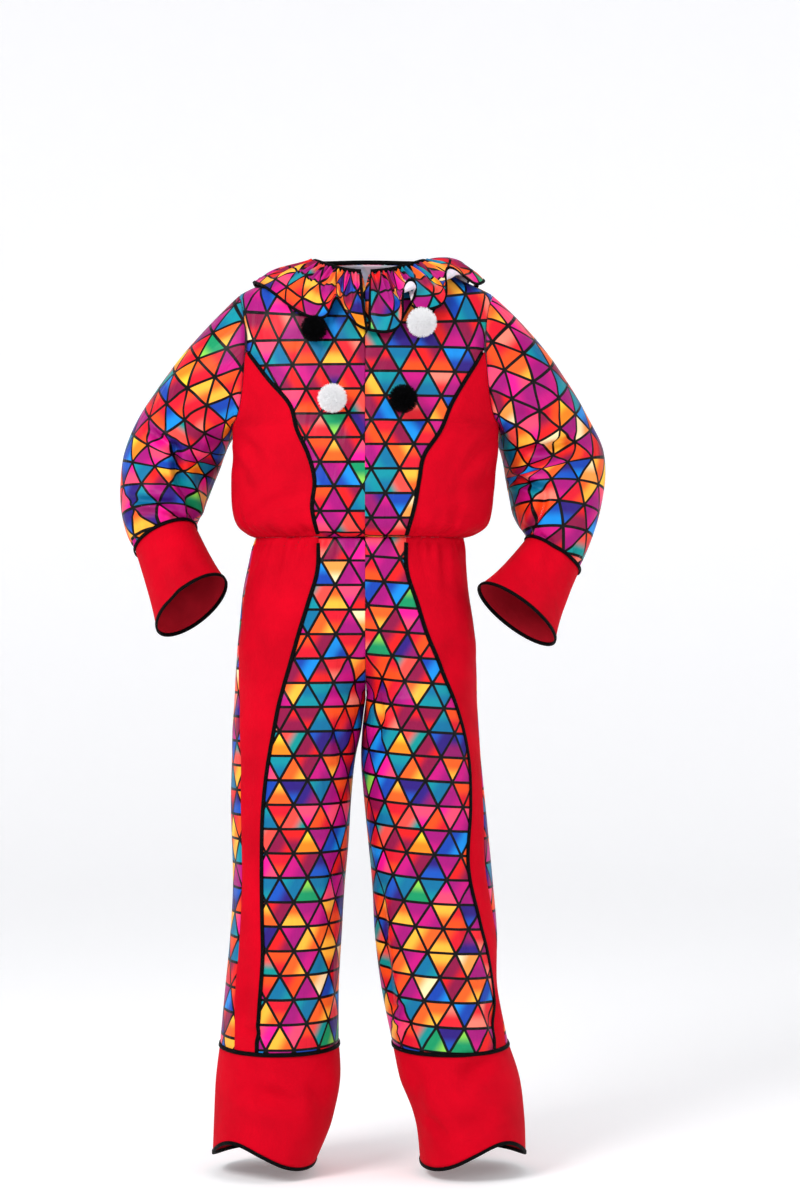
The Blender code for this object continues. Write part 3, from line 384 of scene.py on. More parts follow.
class Skin:
    """A surface given by its loops: loop(t, w) is the points of row t at the turns w, from 0 to 1."""

    TURNS = np.linspace(0.0, 1.0, SAMPLES + 1)
    STEP = 0.04

    def __init__(self, loop: Callable[[float, Array], Array], last: float, outwards: int) -> None:
        """Keeps the loop's function, its last row and which way is out of the cloth."""
        self.loop, self.last, self.outwards = loop, last, outwards
        self.rows: dict[float, Array] = {}

    def row(self, t: float) -> Array:
        """The points of row t at every turn."""
        if t not in self.rows:
            self.rows[t] = self.loop(t, self.TURNS)
        return self.rows[t]

    def point(self, t: float, turns: Array) -> Array:
        """Points of row t at the given turns."""
        row = self.row(t)
        return np.stack([np.interp(turns, self.TURNS, row[:, k]) for k in range(3)], axis=-1)

    def normal(self, t: float, turns: Array) -> Array:
        """The direction out of the cloth, across the row and along the column."""
        reach = 0.004
        low, high = np.clip(turns - reach, 0, 1), np.clip(turns + reach, 0, 1)
        below, above = max(t - self.STEP, 0.0), min(t + self.STEP, self.last)
        round_it = self.point(t, high) - self.point(t, low)
        along_it = self.point(above, turns) - self.point(below, turns)
        return self.outwards * unit(np.cross(round_it, along_it))

    def lengths(self, t: float) -> Array:
        """Distance along row t at every turn."""
        return run_along(self.row(t))

    def moved(self, t: float, turn: float, distance: float) -> float:
        """The turn that lies this far along the row from another."""
        lengths = self.lengths(t)
        return float(np.interp(np.interp(turn, self.TURNS, lengths) + distance, lengths, self.TURNS))

    def spaced(self, t: float, start: float, end: float, count: int) -> Array:
        """Turns evenly spaced along the row between two others."""
        lengths = self.lengths(t)
        first, last = np.interp([start, end], self.TURNS, lengths)
        return np.interp(np.linspace(first, last, count + 1), lengths, self.TURNS)

    def turn_at_x(self, t: float, x: float, low: float, high: float) -> float:
        """The turn between low and high where the row crosses a plane of constant x."""
        inside = (self.TURNS >= low) & (self.TURNS <= high)
        turns, across = self.TURNS[inside], self.row(t)[inside, 0]
        order = np.argsort(across)
        return float(np.interp(x, across[order], turns[order]))


def trunk_loop(t: float, turns: Array) -> Array:
    """A loop round the trunk: turn 0 is the centre front, and the left side is at a quarter turn."""
    row = along_table(TRUNK, t)
    angle = 2 * np.pi * turns
    across, ahead = np.sin(angle), np.cos(angle)
    exponent = 2 / row.squareness
    x = np.where(across > 0, row.left, row.right) * power(across, exponent)
    y = -np.where(ahead > 0, row.front, row.back) * power(ahead, exponent)
    end_z = np.where(ahead > 0, row.front_z, row.back_z)
    z = row.side_z + (end_z - row.side_z) * ahead**2
    return np.stack([x, y, z], axis=-1)


def leg_loop(side: Side) -> Callable[[float, Array], Array]:
    """The loops of one half of the trousers, from the inner front round the outside to the inner back."""

    def loop(t: float, turns: Array) -> Array:
        """The points of row t at the turns."""
        row = along_table(LEGS, t)
        inner, outer = getattr(row, side.word + "_inner"), getattr(row, side.word + "_outer")
        half, exponent = np.pi * turns, 2 / row.square
        depth = np.where(np.cos(half) > 0, row.front, row.back)
        hips = np.stack(
            [outer * power(np.sin(half), exponent), -depth * power(np.cos(half), exponent)], axis=-1
        )
        exponent = 2 / LEG_SQUARENESS
        full = 2 * np.pi * turns
        centre, across = (inner + outer) / 2, (outer - inner) / 2
        depth = np.where(np.sin(full) > 0, row.front, row.back)
        leg = np.stack(
            [centre - across * power(np.cos(full), exponent), -depth * power(np.sin(full), exponent)], axis=-1
        )
        split = float(np.clip(row.split, 0, 1))
        flat = hips * (1 - split) + leg * split
        tilt = HEM_TILT * np.clip((t - CROTCH) / (HEM_SEAM - CROTCH), 0, 1) ** 2
        return np.column_stack([flat, row.height + tilt * flat[:, 1]])

    return loop


def band_loop(side: Side) -> Callable[[float, Array], Array]:
    """The loops of a hem band, from the inner side round the front."""

    def loop(t: float, turns: Array) -> Array:
        """The points of row t at the turns."""
        row = along_table(BANDS, t)
        inner, outer = getattr(row, side.word + "_inner"), getattr(row, side.word + "_outer")
        exponent = 2 / LEG_SQUARENESS
        full = 2 * np.pi * turns
        x = (inner + outer) / 2 - (outer - inner) / 2 * power(np.cos(full), exponent)
        y = -row.depth * power(np.sin(full), exponent)
        lift = row.rise * np.exp(-(((turns - INSTEP_TURN) / INSTEP_SPREAD) ** 2) * 2)
        return np.stack([x, y, row.height + HEM_TILT * y + lift], axis=-1)

    return loop


def frame_of(outer: Array, inner: Array, tangent: Array) -> tuple[Array, Array]:
    """Half-vectors of a loop: towards the inner side, and the unit direction to the front."""
    half = (inner - outer) / 2
    ahead = unit(np.cross(tangent, half))
    return half, ahead if ahead[1] < 0 else -ahead


def oval(centre: Array | float, half: Array, ahead: Array, deep: float, turns: Array) -> Array:
    """An oval loop from its inner side round the front."""
    angle = (2 * np.pi * turns)[:, None]
    return centre + half * np.cos(angle) + ahead * deep * np.sin(angle)


def sleeve_row(side: Side, t: float) -> tuple[Array, Array, float]:
    """The outer and inner side of a sleeve's loop, and its half-depth."""
    row = along_table(SLEEVES[side], t)
    return np.array([row.outer_x, row.y, row.outer_z]), np.array([row.inner_x, row.y, row.inner_z]), row.deep


def sleeve_axis(side: Side, t: float) -> Array:
    """The direction down the sleeve."""
    ends = [sleeve_row(side, float(np.clip(t + d, 0, CUFF_SEAM))) for d in (-0.8, 0.8)]
    return unit((ends[1][0] + ends[1][1]) / 2 - (ends[0][0] + ends[0][1]) / 2)


def sleeve_loop(side: Side, armhole: Array) -> Callable[[float, Array], Array]:
    """The loops of a sleeve, from under the arm round the front. The first is the armhole's own."""
    steps = run_along(armhole)
    top = int(np.argmax(armhole[:, 2]))
    fractions = np.where(
        np.arange(len(armhole)) <= top,
        0.5 * steps / steps[top],
        0.5 + 0.5 * (steps - steps[top]) / (steps[-1] - steps[top]),
    )

    def loop(t: float, turns: Array) -> Array:
        """The points of row t at the turns."""
        outer, inner, deep = sleeve_row(side, t)
        half, ahead = frame_of(outer, inner, sleeve_axis(side, t))
        free = oval((outer + inner) / 2, half, ahead, deep, turns)
        sewn = np.stack([np.interp(turns, fractions, armhole[:, k]) for k in range(3)], axis=-1)
        share = smooth_step(t / ARMHOLE_BLEND)
        return sewn * (1 - share) + free * share

    return loop


def cuff_loop(side: Side) -> Callable[[float, Array], Array]:
    """The loops of a cuff, from its seam at t = 0 to its mouth at t = 1."""
    outer, inner, deep = sleeve_row(side, CUFF_SEAM)
    half, ahead = frame_of(outer, inner, sleeve_axis(side, CUFF_SEAM))
    seam = ((outer + inner) / 2, half, ahead, deep)
    row = MOUTHS[side]
    outer = np.array([row.outer_x, row.y, row.outer_z])
    inner = np.array([row.inner_x, row.y, row.inner_z])
    half = (inner - outer) / 2
    down = unit(np.array([half[2], 0.0, -half[0]]))
    down = down if down[2] < 0 else -down
    facing = down * np.sqrt(1 - row.facing_y**2) + np.array([0.0, row.facing_y, 0.0])
    half, ahead = frame_of(outer, inner, facing)
    mouth = ((outer + inner) / 2, half, ahead, row.deep)

    def loop(t: float, turns: Array) -> Array:
        """The points at the share t of the cuff's length."""
        flare = t + 0.10 * np.sin(np.pi * t)
        widen = t - 0.06 * np.sin(np.pi * t)
        centre = seam[0] * (1 - flare) + mouth[0] * flare
        start, end = oval(0.0, *seam[1:], turns), oval(0.0, *mouth[1:], turns)
        return centre + start * (1 - widen) + end * widen

    return loop


TRUNK_SKIN = Skin(trunk_loop, last=NECK, outwards=1)


def bodice_seam_turn(t: float, side: Side) -> float:
    """Where the bodice's front seam crosses row t."""
    height = float(along_table(TRUNK, t).side_z)
    x = at_height(BODICE_SEAM, side.word, height)
    low, high = (0.0, 0.25) if side is Side.LEFT else (0.75, 1.0)
    return TRUNK_SKIN.turn_at_x(t, side.value * x, low, high)


def armhole_turns(t: float, side: Side) -> tuple[float, float]:
    """Turns of the armhole's front and back edge on a row, or of the side seam twice where it has none."""
    middle = 0.25 if side is Side.LEFT else 0.75
    if not ARMPIT < t < SHOULDER:
        return middle, middle
    row = along_table(TRUNK, t)
    reach = min(row.armhole, getattr(row, side.word) - 1e-5)
    front = (0.0, 0.25) if side is Side.LEFT else (0.75, 1.0)
    back = (0.25, 0.5) if side is Side.LEFT else (0.5, 0.75)
    turn_at = TRUNK_SKIN.turn_at_x
    return turn_at(t, side.value * reach, *front), turn_at(t, side.value * reach, *back)


def armhole_edge(side: Side) -> Array:
    """The armhole's seam, from under the arm up the front, over, and down the back, with +X outwards."""
    rows = np.linspace(ARMPIT, SHOULDER, 8 * (SHOULDER - ARMPIT) + 1)
    front = [TRUNK_SKIN.point(t, armhole_turns(t, side)[0]) for t in rows]
    back = [TRUNK_SKIN.point(t, armhole_turns(t, side)[1]) for t in rows]
    return np.array(front + back[-2:0:-1] + front[:1]) * np.array([side.value, 1.0, 1.0])


# Each side of a crease rises a little the other way: how much, how far off and how sharply.
RIDGE_SHARE = 0.35
RIDGE_PLACE = 1.7
RIDGE_SHARPNESS = 1.5


def creased(creases: Iterable[Crease], points: Array, normals: Array) -> Array:
    """How far each point is moved out by the creases, which fade towards their ends and round the side."""
    height = np.zeros(points.shape[:-1])
    for crease in creases:
        along = np.array([crease.x1 - crease.x0, crease.z1 - crease.z0])
        length = np.linalg.norm(along)
        along = along / length
        x, z = points[..., 0] - crease.x0, points[..., 2] - crease.z0
        share = (x * along[0] + z * along[1]) / length
        bow = crease.bow * 4 * share * (1 - share)
        off = (x * -along[1] + z * along[0] - bow) / crease.width
        fade = np.clip(4 * share * (1 - share), 0, 1) ** 1.1
        seen = smooth_step((normals[..., 1] * crease.facing.value + 0.15) / 0.45)
        ridges = RIDGE_SHARE * np.exp(-((np.abs(off) - RIDGE_PLACE) ** 2) * RIDGE_SHARPNESS)
        height += crease.height * (np.exp(-off**2) - ridges) * fade * seen
    return height * CREASE_DEPTH


@dataclass(frozen=True)
class Gathers:
    """Cloth drawn up on a seam: troughs run away from it, each with its own depth, width and reach."""

    spacing: float
    depth: float
    reach: float
    seed: int

    def relief(self, arc: Array, distance: Array, length: float) -> Array:
        """How far each point is moved in.

        Args:
            arc: each point's place along the seam, in metres.
            distance: each point's distance from the seam.
            length: the seam's length.

        Returns:
            Heights, below 0 in the troughs.
        """
        random = np.random.default_rng(self.seed)
        count = max(2, round(length / self.spacing))
        height = np.zeros(np.broadcast(arc, distance).shape)
        for k in range(count):
            place = (k + 0.5 + random.uniform(-0.3, 0.3)) * length / count
            depth = self.depth * random.uniform(0.5, 1.15)
            width = self.spacing * random.uniform(0.20, 0.34)
            reach = self.reach * random.choice([0.35, 0.6, 1.0, 1.7], p=[0.3, 0.35, 0.25, 0.10])
            lean = random.uniform(-0.10, 0.10)
            across = arc - place - lean * distance
            across = (across + length / 2) % length - length / 2
            spread = width * (1 + distance / (3 * self.spacing))
            height -= depth * np.exp(-((across / spread) ** 2)) * np.exp(-((distance / reach) ** 1.4))
        return height * smooth_step(distance / 0.008)


@dataclass
class Cloth:
    """Cloth as a grid of points, with the way out of it and each point's place on the flat cut."""

    points: Array
    normals: Array
    places: Array
    closed: bool = False

    def moved_out(self, height: Array) -> "Cloth":
        """The same cloth with each point moved out by its height."""
        points = self.points + self.normals * height[..., None]
        if self.closed:
            points[:, -1] = points[:, 0]
        return Cloth(points, self.normals, self.places, self.closed)

    def surface_normals(self) -> Array:
        """The way out of the creased cloth."""
        down = np.gradient(self.points, axis=0)
        if self.closed:
            wide = np.concatenate([self.points[:, -2:-1], self.points, self.points[:, 1:2]], axis=1)
            across = np.gradient(wide, axis=1)[:, 1:-1]
        else:
            across = np.gradient(self.points, axis=1)
        out = unit(np.cross(down, across))
        return out * np.sign((out * self.normals).sum(axis=-1, keepdims=True))

    def build(self, name: str, front: bpy.types.Material, back: bpy.types.Material) -> bpy.types.Object:
        """A closed thin wall: the front finish outside and on the rim, the back finish inside."""
        rows, columns = self.points.shape[:2]
        wide = columns - 1 if self.closed else columns
        inner = self.points - self.surface_normals() * CLOTH
        points = np.concatenate([self.points[:, :wide].reshape(-1, 3), inner[:, :wide].reshape(-1, 3)])
        across, down = np.meshgrid(np.arange(columns - 1), np.arange(rows - 1))
        across, down = across.ravel(), down.ravel()
        corners = [(down, across), (down, across + 1), (down + 1, across + 1), (down + 1, across)]
        outer_faces = np.stack([r * wide + c % wide for r, c in corners], axis=1)
        outer_uv = np.stack([self.places[r, c] for r, c in corners], axis=1)
        first = self.points[corners[1]] - self.points[corners[0]]
        second = self.points[corners[3]] - self.points[corners[0]]
        turned = (np.cross(first, second) * self.normals[corners[0]]).sum() < 0
        if turned:
            outer_faces, outer_uv = outer_faces[:, ::-1], outer_uv[:, ::-1]
        inner_faces, inner_uv = outer_faces[:, ::-1] + rows * wide, outer_uv[:, ::-1]
        rims, rim_uv = [], []
        for path in self.rim_paths(rows, columns):
            r, c = path[:, 0], path[:, 1]
            ids = r * wide + c % wide
            quad = np.stack([ids[:-1], ids[1:], ids[1:] + rows * wide, ids[:-1] + rows * wide], axis=1)
            uv = np.stack([self.places[r[:-1], c[:-1]], self.places[r[1:], c[1:]]] * 2, axis=1)
            uv[:, 2], uv[:, 3] = uv[:, 1].copy(), uv[:, 0].copy()
            rims.append(quad if turned else quad[:, ::-1])
            rim_uv.append(uv if turned else uv[:, ::-1])
        faces = np.concatenate([outer_faces, inner_faces, *rims])
        uvs = np.concatenate([outer_uv, inner_uv, *rim_uv]).reshape(-1, 2)
        made = mesh_object(name, points, faces.tolist(), [front, back], uvs)
        finish = np.zeros(len(faces), int)
        finish[len(outer_faces):2 * len(outer_faces)] = 1
        made.data.polygons.foreach_set("material_index", finish)
        return made

    def rim_paths(self, rows: int, columns: int) -> list[Array]:
        """Grid places along each open edge, going round the sheet one way."""
        across, down = np.arange(columns), np.arange(rows)
        top = np.stack([np.zeros_like(across), across], axis=1)
        bottom = np.stack([np.full_like(across, rows - 1), across], axis=1)[::-1]
        if self.closed:
            return [top, bottom]
        right = np.stack([down, np.full_like(down, columns - 1)], axis=1)
        left = np.stack([down, np.zeros_like(down)], axis=1)[::-1]
        return [top, right, bottom, left]

    def mirrored(self, side: Side) -> "Cloth":
        """The cloth on its own side, where it was worked out with +X outwards."""
        flip = np.array([side.value, 1.0, 1.0])
        return Cloth(self.points * flip, self.normals * flip, self.places, self.closed)


def placed(name: str, data: bpy.types.ID) -> bpy.types.Object:
    """An object of the data, put in the scene."""
    made = bpy.data.objects.new(name, data)
    bpy.context.scene.collection.objects.link(made)
    return made


def mesh_object(
    name: str, points: Array, faces: list[Sequence[int]], finishes: Sequence[bpy.types.Material],
    uvs: Array | None = None,
) -> bpy.types.Object:
    """A smooth mesh object, with a UV map in metres where one is given."""
    mesh = bpy.data.meshes.new(name)
    mesh.from_pydata(points.tolist(), [], faces)
    if uvs is not None:
        layer = mesh.uv_layers.new(name=FLAT_CUT)
        layer.data.foreach_set("uv", uvs.ravel().astype(np.float32))
    for finish in finishes:
        mesh.materials.append(finish)
    mesh.shade_smooth()
    mesh.update()
    return placed(name, mesh)


def ribbon(
    name: str, path: Array, across: Array, out: Array,
    width: tuple[float, float], height: tuple[float, float],
    finish: bpy.types.Material, closed: bool = False, corners: int = 12,
) -> bpy.types.Object:
    """A tape with rounded edges along a path: width runs along across, height along out."""
    angle = np.arange(corners) * 2 * np.pi / corners
    a = (width[0] + width[1]) / 2 + (width[1] - width[0]) / 2 * power(np.cos(angle), 0.55)
    b = (height[0] + height[1]) / 2 + (height[1] - height[0]) / 2 * power(np.sin(angle), 0.75)
    rings = path[:, None] + across[:, None] * a[:, None] + out[:, None] * b[:, None]
    count = len(path)
    i, k = np.meshgrid(np.arange(count if closed else count - 1), np.arange(corners), indexing="ij")
    i, k = i.ravel(), k.ravel()
    j, m = (i + 1) % count, (k + 1) % corners
    faces = np.stack([i * corners + k, i * corners + m, j * corners + m, j * corners + k], axis=1).tolist()
    steps = np.linalg.norm(np.diff(path, axis=0, append=path[:1]), axis=1)
    run = np.concatenate([[0.0], np.cumsum(steps)])
    girth = TAPE_GIRTH / corners
    spots = ((i, k), (i, k + 1), (i + 1, k + 1), (i + 1, k))
    quads = [np.stack([run[ring], corner * girth], axis=1) for ring, corner in spots]
    uv = np.stack(quads, axis=1).reshape(-1, 2)
    if not closed:
        faces += [list(range(corners))[::-1], list(range((count - 1) * corners, count * corners))]
        ends = np.stack([a, b], axis=1)
        uv = np.concatenate([uv, ends[::-1], ends])
    made = mesh_object(name, rings.reshape(-1, 3), faces, [finish], uv)
    face_outwards(made)
    return made


def face_outwards(made: bpy.types.Object) -> None:
    """Turns a closed mesh the right way round if its volume is negative."""
    mesh = made.data
    mesh.calc_loop_triangles()
    corners = [mesh.vertices[i].co for tri in mesh.loop_triangles for i in tri.vertices]
    corners = np.array(corners).reshape(-1, 3, 3)
    if np.linalg.det(corners).sum() < 0:
        mesh.flip_normals()


def linear(code: str) -> tuple[float, float, float, float]:
    """An sRGB hex colour as linear red, green, blue and alpha."""
    parts = [int(code[i:i + 2], 16) / 255 for i in (0, 2, 4)]
    return (*(c / 12.92 if c <= 0.04045 else ((c + 0.055) / 1.055) ** 2.4 for c in parts), 1.0)


def feed(tree: bpy.types.NodeTree, node: bpy.types.Node, inputs: dict) -> None:
    """Sets a node's sockets by name or number, each to a value or to the socket that feeds it."""
    for key, value in inputs.items():
        if isinstance(value, bpy.types.NodeSocket):
            tree.links.new(value, node.inputs[key])
        else:
            node.inputs[key].default_value = value


def add_node(
    tree: bpy.types.NodeTree, kind: str, settings: dict | None = None, inputs: dict | None = None
) -> bpy.types.Node:
    """Adds a node to a tree, with its own properties and its sockets' values."""
    node = tree.nodes.new(kind)
    for key, value in (settings or {}).items():
        setattr(node, key, value)
    feed(tree, node, inputs or {})
    return node


def maths(tree: bpy.types.NodeTree, operation: str, *values) -> bpy.types.NodeSocket:
    """The result of an operation on values or sockets."""
    return add_node(tree, "ShaderNodeMath", {"operation": operation}, dict(enumerate(values))).outputs[0]


def mixed(tree: bpy.types.NodeTree, factor, first, second, way: str = "MIX") -> bpy.types.NodeSocket:
    """Two colours mixed by a factor."""
    settings = {"data_type": "RGBA", "blend_type": way}
    return add_node(tree, "ShaderNodeMix", settings, {"Factor": factor, 6: first, 7: second}).outputs[2]


def fitted(
    tree: bpy.types.NodeTree, value, low: float = 0.0, high: float = 1.0,
    start: float = 0.0, end: float = 1.0, way: str = "LINEAR",
) -> bpy.types.NodeSocket:
    """A value that goes from start to end as the given one goes from low to high."""
    inputs = {"Value": value, "From Min": low, "From Max": high, "To Min": start, "To Max": end}
    return add_node(tree, "ShaderNodeMapRange", {"interpolation_type": way}, inputs).outputs[0]


def noise(tree: bpy.types.NodeTree, place, scale: float, detail: float, flat: bool = True, **more):
    """Cloudy noise, on the flat cut or in space."""
    settings = {"noise_dimensions": "2D" if flat else "3D"}
    inputs = {"Vector": place, "Scale": scale, "Detail": detail, **more}
    return add_node(tree, "ShaderNodeTexNoise", settings, inputs).outputs[0]


def threads(tree: bpy.types.NodeTree, place, width: float, axis: str, distortion: float, **more):
    """The height of threads of a width that lie side by side along an axis."""
    settings = {"wave_type": "BANDS", "bands_direction": axis}
    inputs = {"Vector": place, "Scale": BAND / width, "Distortion": distortion, "Detail": 1.0, **more}
    return add_node(tree, "ShaderNodeTexWave", settings, inputs).outputs[1]


def bumped(tree: bpy.types.NodeTree, strength: float, distance: float, height, **more):
    """The normal of a relief."""
    inputs = {"Strength": strength, "Distance": distance, "Height": height, **more}
    return add_node(tree, "ShaderNodeBump", None, inputs).outputs[0]


def flat_place(tree: bpy.types.NodeTree) -> bpy.types.NodeSocket:
    """The place on the flat cut."""
    return add_node(tree, "ShaderNodeUVMap", {"uv_map": FLAT_CUT}).outputs["UV"]


def new_material(name: str) -> tuple[bpy.types.Material, bpy.types.NodeTree, bpy.types.Node]:
    """A material with its tree and its shader."""
    made = bpy.data.materials.new(name)
    made.use_nodes = True
    return made, made.node_tree, made.node_tree.nodes["Principled BSDF"]


class Ink(NamedTuple):
    """A colour of the print: the shade at one end of a triangle, the shade at the other, and its share."""

    near: str
    far: str
    share: float


INKS = (
    Ink("C01078", "9C0E70", 14.0),
    Ink("E8128A", "F0466A", 9.0),
    Ink("DC1A1C", "861040", 14.0),
    Ink("EE4A18", "D4142A", 12.0),
    Ink("FAB038", "EC5C20", 11.0),
    Ink("FBC830", "F0801A", 2.5),
    Ink("84CC48", "128E5C", 1.8),
    Ink("078A88", "E84840", 4.0),
    Ink("0A8896", "0A6A94", 8.0),
    Ink("1286D8", "1440A4", 7.5),
    Ink("1850B4", "2C1A74", 6.0),
    Ink("2E1A78", "8C1460", 3.5),
    Ink("F27C6A", "E0222E", 4.5),
    Ink("FBDCA8", "F49444", 1.8),
)


@dataclass(frozen=True)
class PrintedSatin:
    """Polyester satin with a printed lattice of triangles: smooth, with a soft sheen along the folds."""

    side: float = 0.0462
    line: float = 0.0044
    roughness: float = 0.40
    float_width: float = 0.0012
    line_colour: str = "040405"
    change: tuple[float, float] = (0.22, 0.68)

    def inks(self, tree: bpy.types.NodeTree) -> bpy.types.NodeSocket:
        """The print's colour on the flat cut: triangles, each a gradient, with black lines between."""
        row = self.side * 3**0.5 / 2
        split = add_node(tree, "ShaderNodeSeparateXYZ", None, {0: flat_place(tree)}).outputs
        up = maths(tree, "DIVIDE", split["Y"], row)
        over = maths(tree, "MULTIPLY_ADD", up, -0.5, maths(tree, "DIVIDE", split["X"], self.side))
        cell = [maths(tree, "FLOOR", value) for value in (over, up)]
        part = [maths(tree, "FRACT", value) for value in (over, up)]
        upper = maths(tree, "GREATER_THAN", maths(tree, "ADD", *part), 1.0)
        key = add_node(tree, "ShaderNodeCombineXYZ", None, {0: cell[0], 1: cell[1], 2: upper}).outputs[0]
        chance = add_node(
            tree, "ShaderNodeTexWhiteNoise", {"noise_dimensions": "3D"}, {"Vector": key}
        ).outputs
        corner = [maths(tree, "ABSOLUTE", maths(tree, "SUBTRACT", value, upper)) for value in part]
        corner.append(maths(tree, "SUBTRACT", 1.0, maths(tree, "ADD", *corner)))
        near = maths(tree, "MINIMUM", maths(tree, "MINIMUM", *corner[:2]), corner[2])
        pick = add_node(tree, "ShaderNodeSeparateXYZ", None, {0: chance["Color"]}).outputs
        first = maths(tree, "GREATER_THAN", pick["Y"], 0.5)
        way = {"Factor": first, "A": corner[0], "B": corner[1]}
        run = add_node(tree, "ShaderNodeMix", {"data_type": "FLOAT"}, way).outputs["Result"]
        turned = maths(tree, "GREATER_THAN", pick["Z"], 0.4)
        run = maths(tree, "ABSOLUTE", maths(tree, "SUBTRACT", run, turned))
        run = fitted(tree, run, *self.change, way="SMOOTHSTEP")
        shades = [self.ramp(tree, chance["Value"], [ink[k] for ink in INKS]) for k in (0, 1)]
        edge = self.line / 2 / row
        line = fitted(tree, near, edge * 0.8, edge * 1.2, way="SMOOTHSTEP")
        return mixed(tree, line, linear(self.line_colour), mixed(tree, run, *shades))

    def ramp(
        self, tree: bpy.types.NodeTree, value: bpy.types.NodeSocket, codes: Sequence[str]
    ) -> bpy.types.NodeSocket:
        """One flat colour for each stretch of the value, as wide as the ink's share."""
        node = add_node(tree, "ShaderNodeValToRGB", None, {"Fac": value})
        node.color_ramp.interpolation = "CONSTANT"
        total, place = sum(ink.share for ink in INKS), 0.0
        for k, (ink, code) in enumerate(zip(INKS, codes)):
            stops = node.color_ramp.elements
            stop = stops[0] if k == 0 else stops[1] if k == 1 else stops.new(place)
            stop.position, stop.color = place, linear(code)
            place += ink.share / total
        return node.outputs["Color"]

    def relief(self, tree: bpy.types.NodeTree, strength: float) -> bpy.types.NodeSocket:
        """Soft puckers a few centimetres apart and the long threads of the satin."""
        place = flat_place(tree)
        drawn = {"Vector": place, "Scale": (1.0, 0.35, 1.0)}
        long = add_node(tree, "ShaderNodeMapping", None, drawn).outputs[0]
        pucker = noise(tree, long, 34.0, 3.0, Roughness=0.45, Distortion=0.6)
        thread = threads(tree, place, self.float_width, "X", 1.2, **{"Detail Scale": 3.0})
        return bumped(tree, 0.12, 0.0004, thread, Normal=bumped(tree, strength, 0.010, pucker))

    def right_side(self) -> bpy.types.Material:
        """The printed side."""
        made, tree, shader = new_material("printed_polyester_satin")
        feed(tree, shader, {
            "Base Color": self.inks(tree), "Normal": self.relief(tree, 0.30), "Roughness": self.roughness,
            "IOR": 1.5, "Specular IOR Level": 0.13, "Anisotropic": 0.35,
        })
        return made

    def wrong_side(self) -> bpy.types.Material:
        """The inside: unprinted pale cloth with a ghost of the colours."""
        made, tree, shader = new_material("satin_wrong_side")
        feed(tree, shader, {
            "Base Color": mixed(tree, 0.80, self.inks(tree), linear("E9E4EE")),
            "Normal": self.relief(tree, 0.25), "Roughness": 0.62, "Sheen Weight": 0.2,
        })
        return made


@dataclass(frozen=True)
class WovenPolyester:
    """Plain-woven polyester: matt, a little uneven in depth of colour, with a fine square weave."""

    name: str
    code: str
    thread: float = 0.0011
    roughness: float = 0.78

    def material(self) -> bpy.types.Material:
        """The finish on the flat cut's own map."""
        made, tree, shader = new_material(self.name)
        place = flat_place(tree)
        tone = fitted(tree, noise(tree, place, 11.0, 4.0), 0.3, 0.7)
        weave = maths(tree, "MAXIMUM", *(threads(tree, place, self.thread, axis, 0.5) for axis in "XY"))
        full = linear(self.code)
        deep = (*(c * 0.80 for c in full[:3]), 1.0)
        grain = fitted(tree, weave, start=0.88)
        soft = bumped(tree, 0.22, 0.010, noise(tree, place, 24.0, 3.0, Roughness=0.5))
        feed(tree, shader, {
            "Base Color": mixed(tree, 1.0, mixed(tree, tone, deep, full), grain, "MULTIPLY"),
            "Normal": bumped(tree, 0.35, 0.0005, weave, Normal=soft),
            "Roughness": self.roughness, "Specular IOR Level": 0.05,
        })
        return made


@dataclass(frozen=True)
class Yarn:
    """Fluffy acrylic yarn: soft matt strands, a little darker at random from strand to strand; the glow is
    painted light, a faint emission in the tip's colour that makes the yarn look brighter.
    """

    name: str
    tip: str
    root: str
    # Painted light: how strongly the yarn glows, to brighten it beyond what the lamps give.
    glow: float = 0.0

    def material(self) -> bpy.types.Material:
        """The finish, which darkens a little from strand to strand."""
        made, tree, shader = new_material(self.name)
        place = add_node(tree, "ShaderNodeTexCoord").outputs["Object"]
        tone = fitted(tree, noise(tree, place, 900.0, 2.0, flat=False), 0.3, 0.62)
        feed(tree, shader, {
            "Base Color": mixed(tree, tone, linear(self.root), linear(self.tip)),
            "Roughness": 0.95, "Specular IOR Level": 0.06,
            # The painted glow: an emission in the tip's colour.
            "Emission Color": linear(self.tip), "Emission Strength": self.glow,
        })
        return made


class Finishes:
    """Every finish of the suit, made once."""

    def __init__(self) -> None:
        """Makes the materials."""
        satin = PrintedSatin()
        self.satin, self.satin_back = satin.right_side(), satin.wrong_side()
        self.red = WovenPolyester("woven_polyester_red", "CE001C").material()
        self.red_back = WovenPolyester("woven_polyester_red_wrong_side", "B01626", roughness=0.85).material()
        self.tape = WovenPolyester("bias_tape_black", "060607", thread=0.0009, roughness=0.66).material()
        self.zip_tape = WovenPolyester("knitted_zip_tape", "B80E20", thread=0.0008).material()
        self.coil = WovenPolyester("nylon_zip_coil", "C2182A", thread=0.0004, roughness=0.4).material()
        thread = WovenPolyester("polyester_thread_black", "141416", thread=0.0003, roughness=0.6)
        self.thread = thread.material()
        # The white yarn gets a faint painted glow that brightens it.
        self.white_yarn = Yarn("acrylic_yarn_white", "FFFFFF", "DCDCE0", glow=0.09).material()
        self.black_yarn = Yarn("acrylic_yarn_black", "0D0D0F", "020203").material()


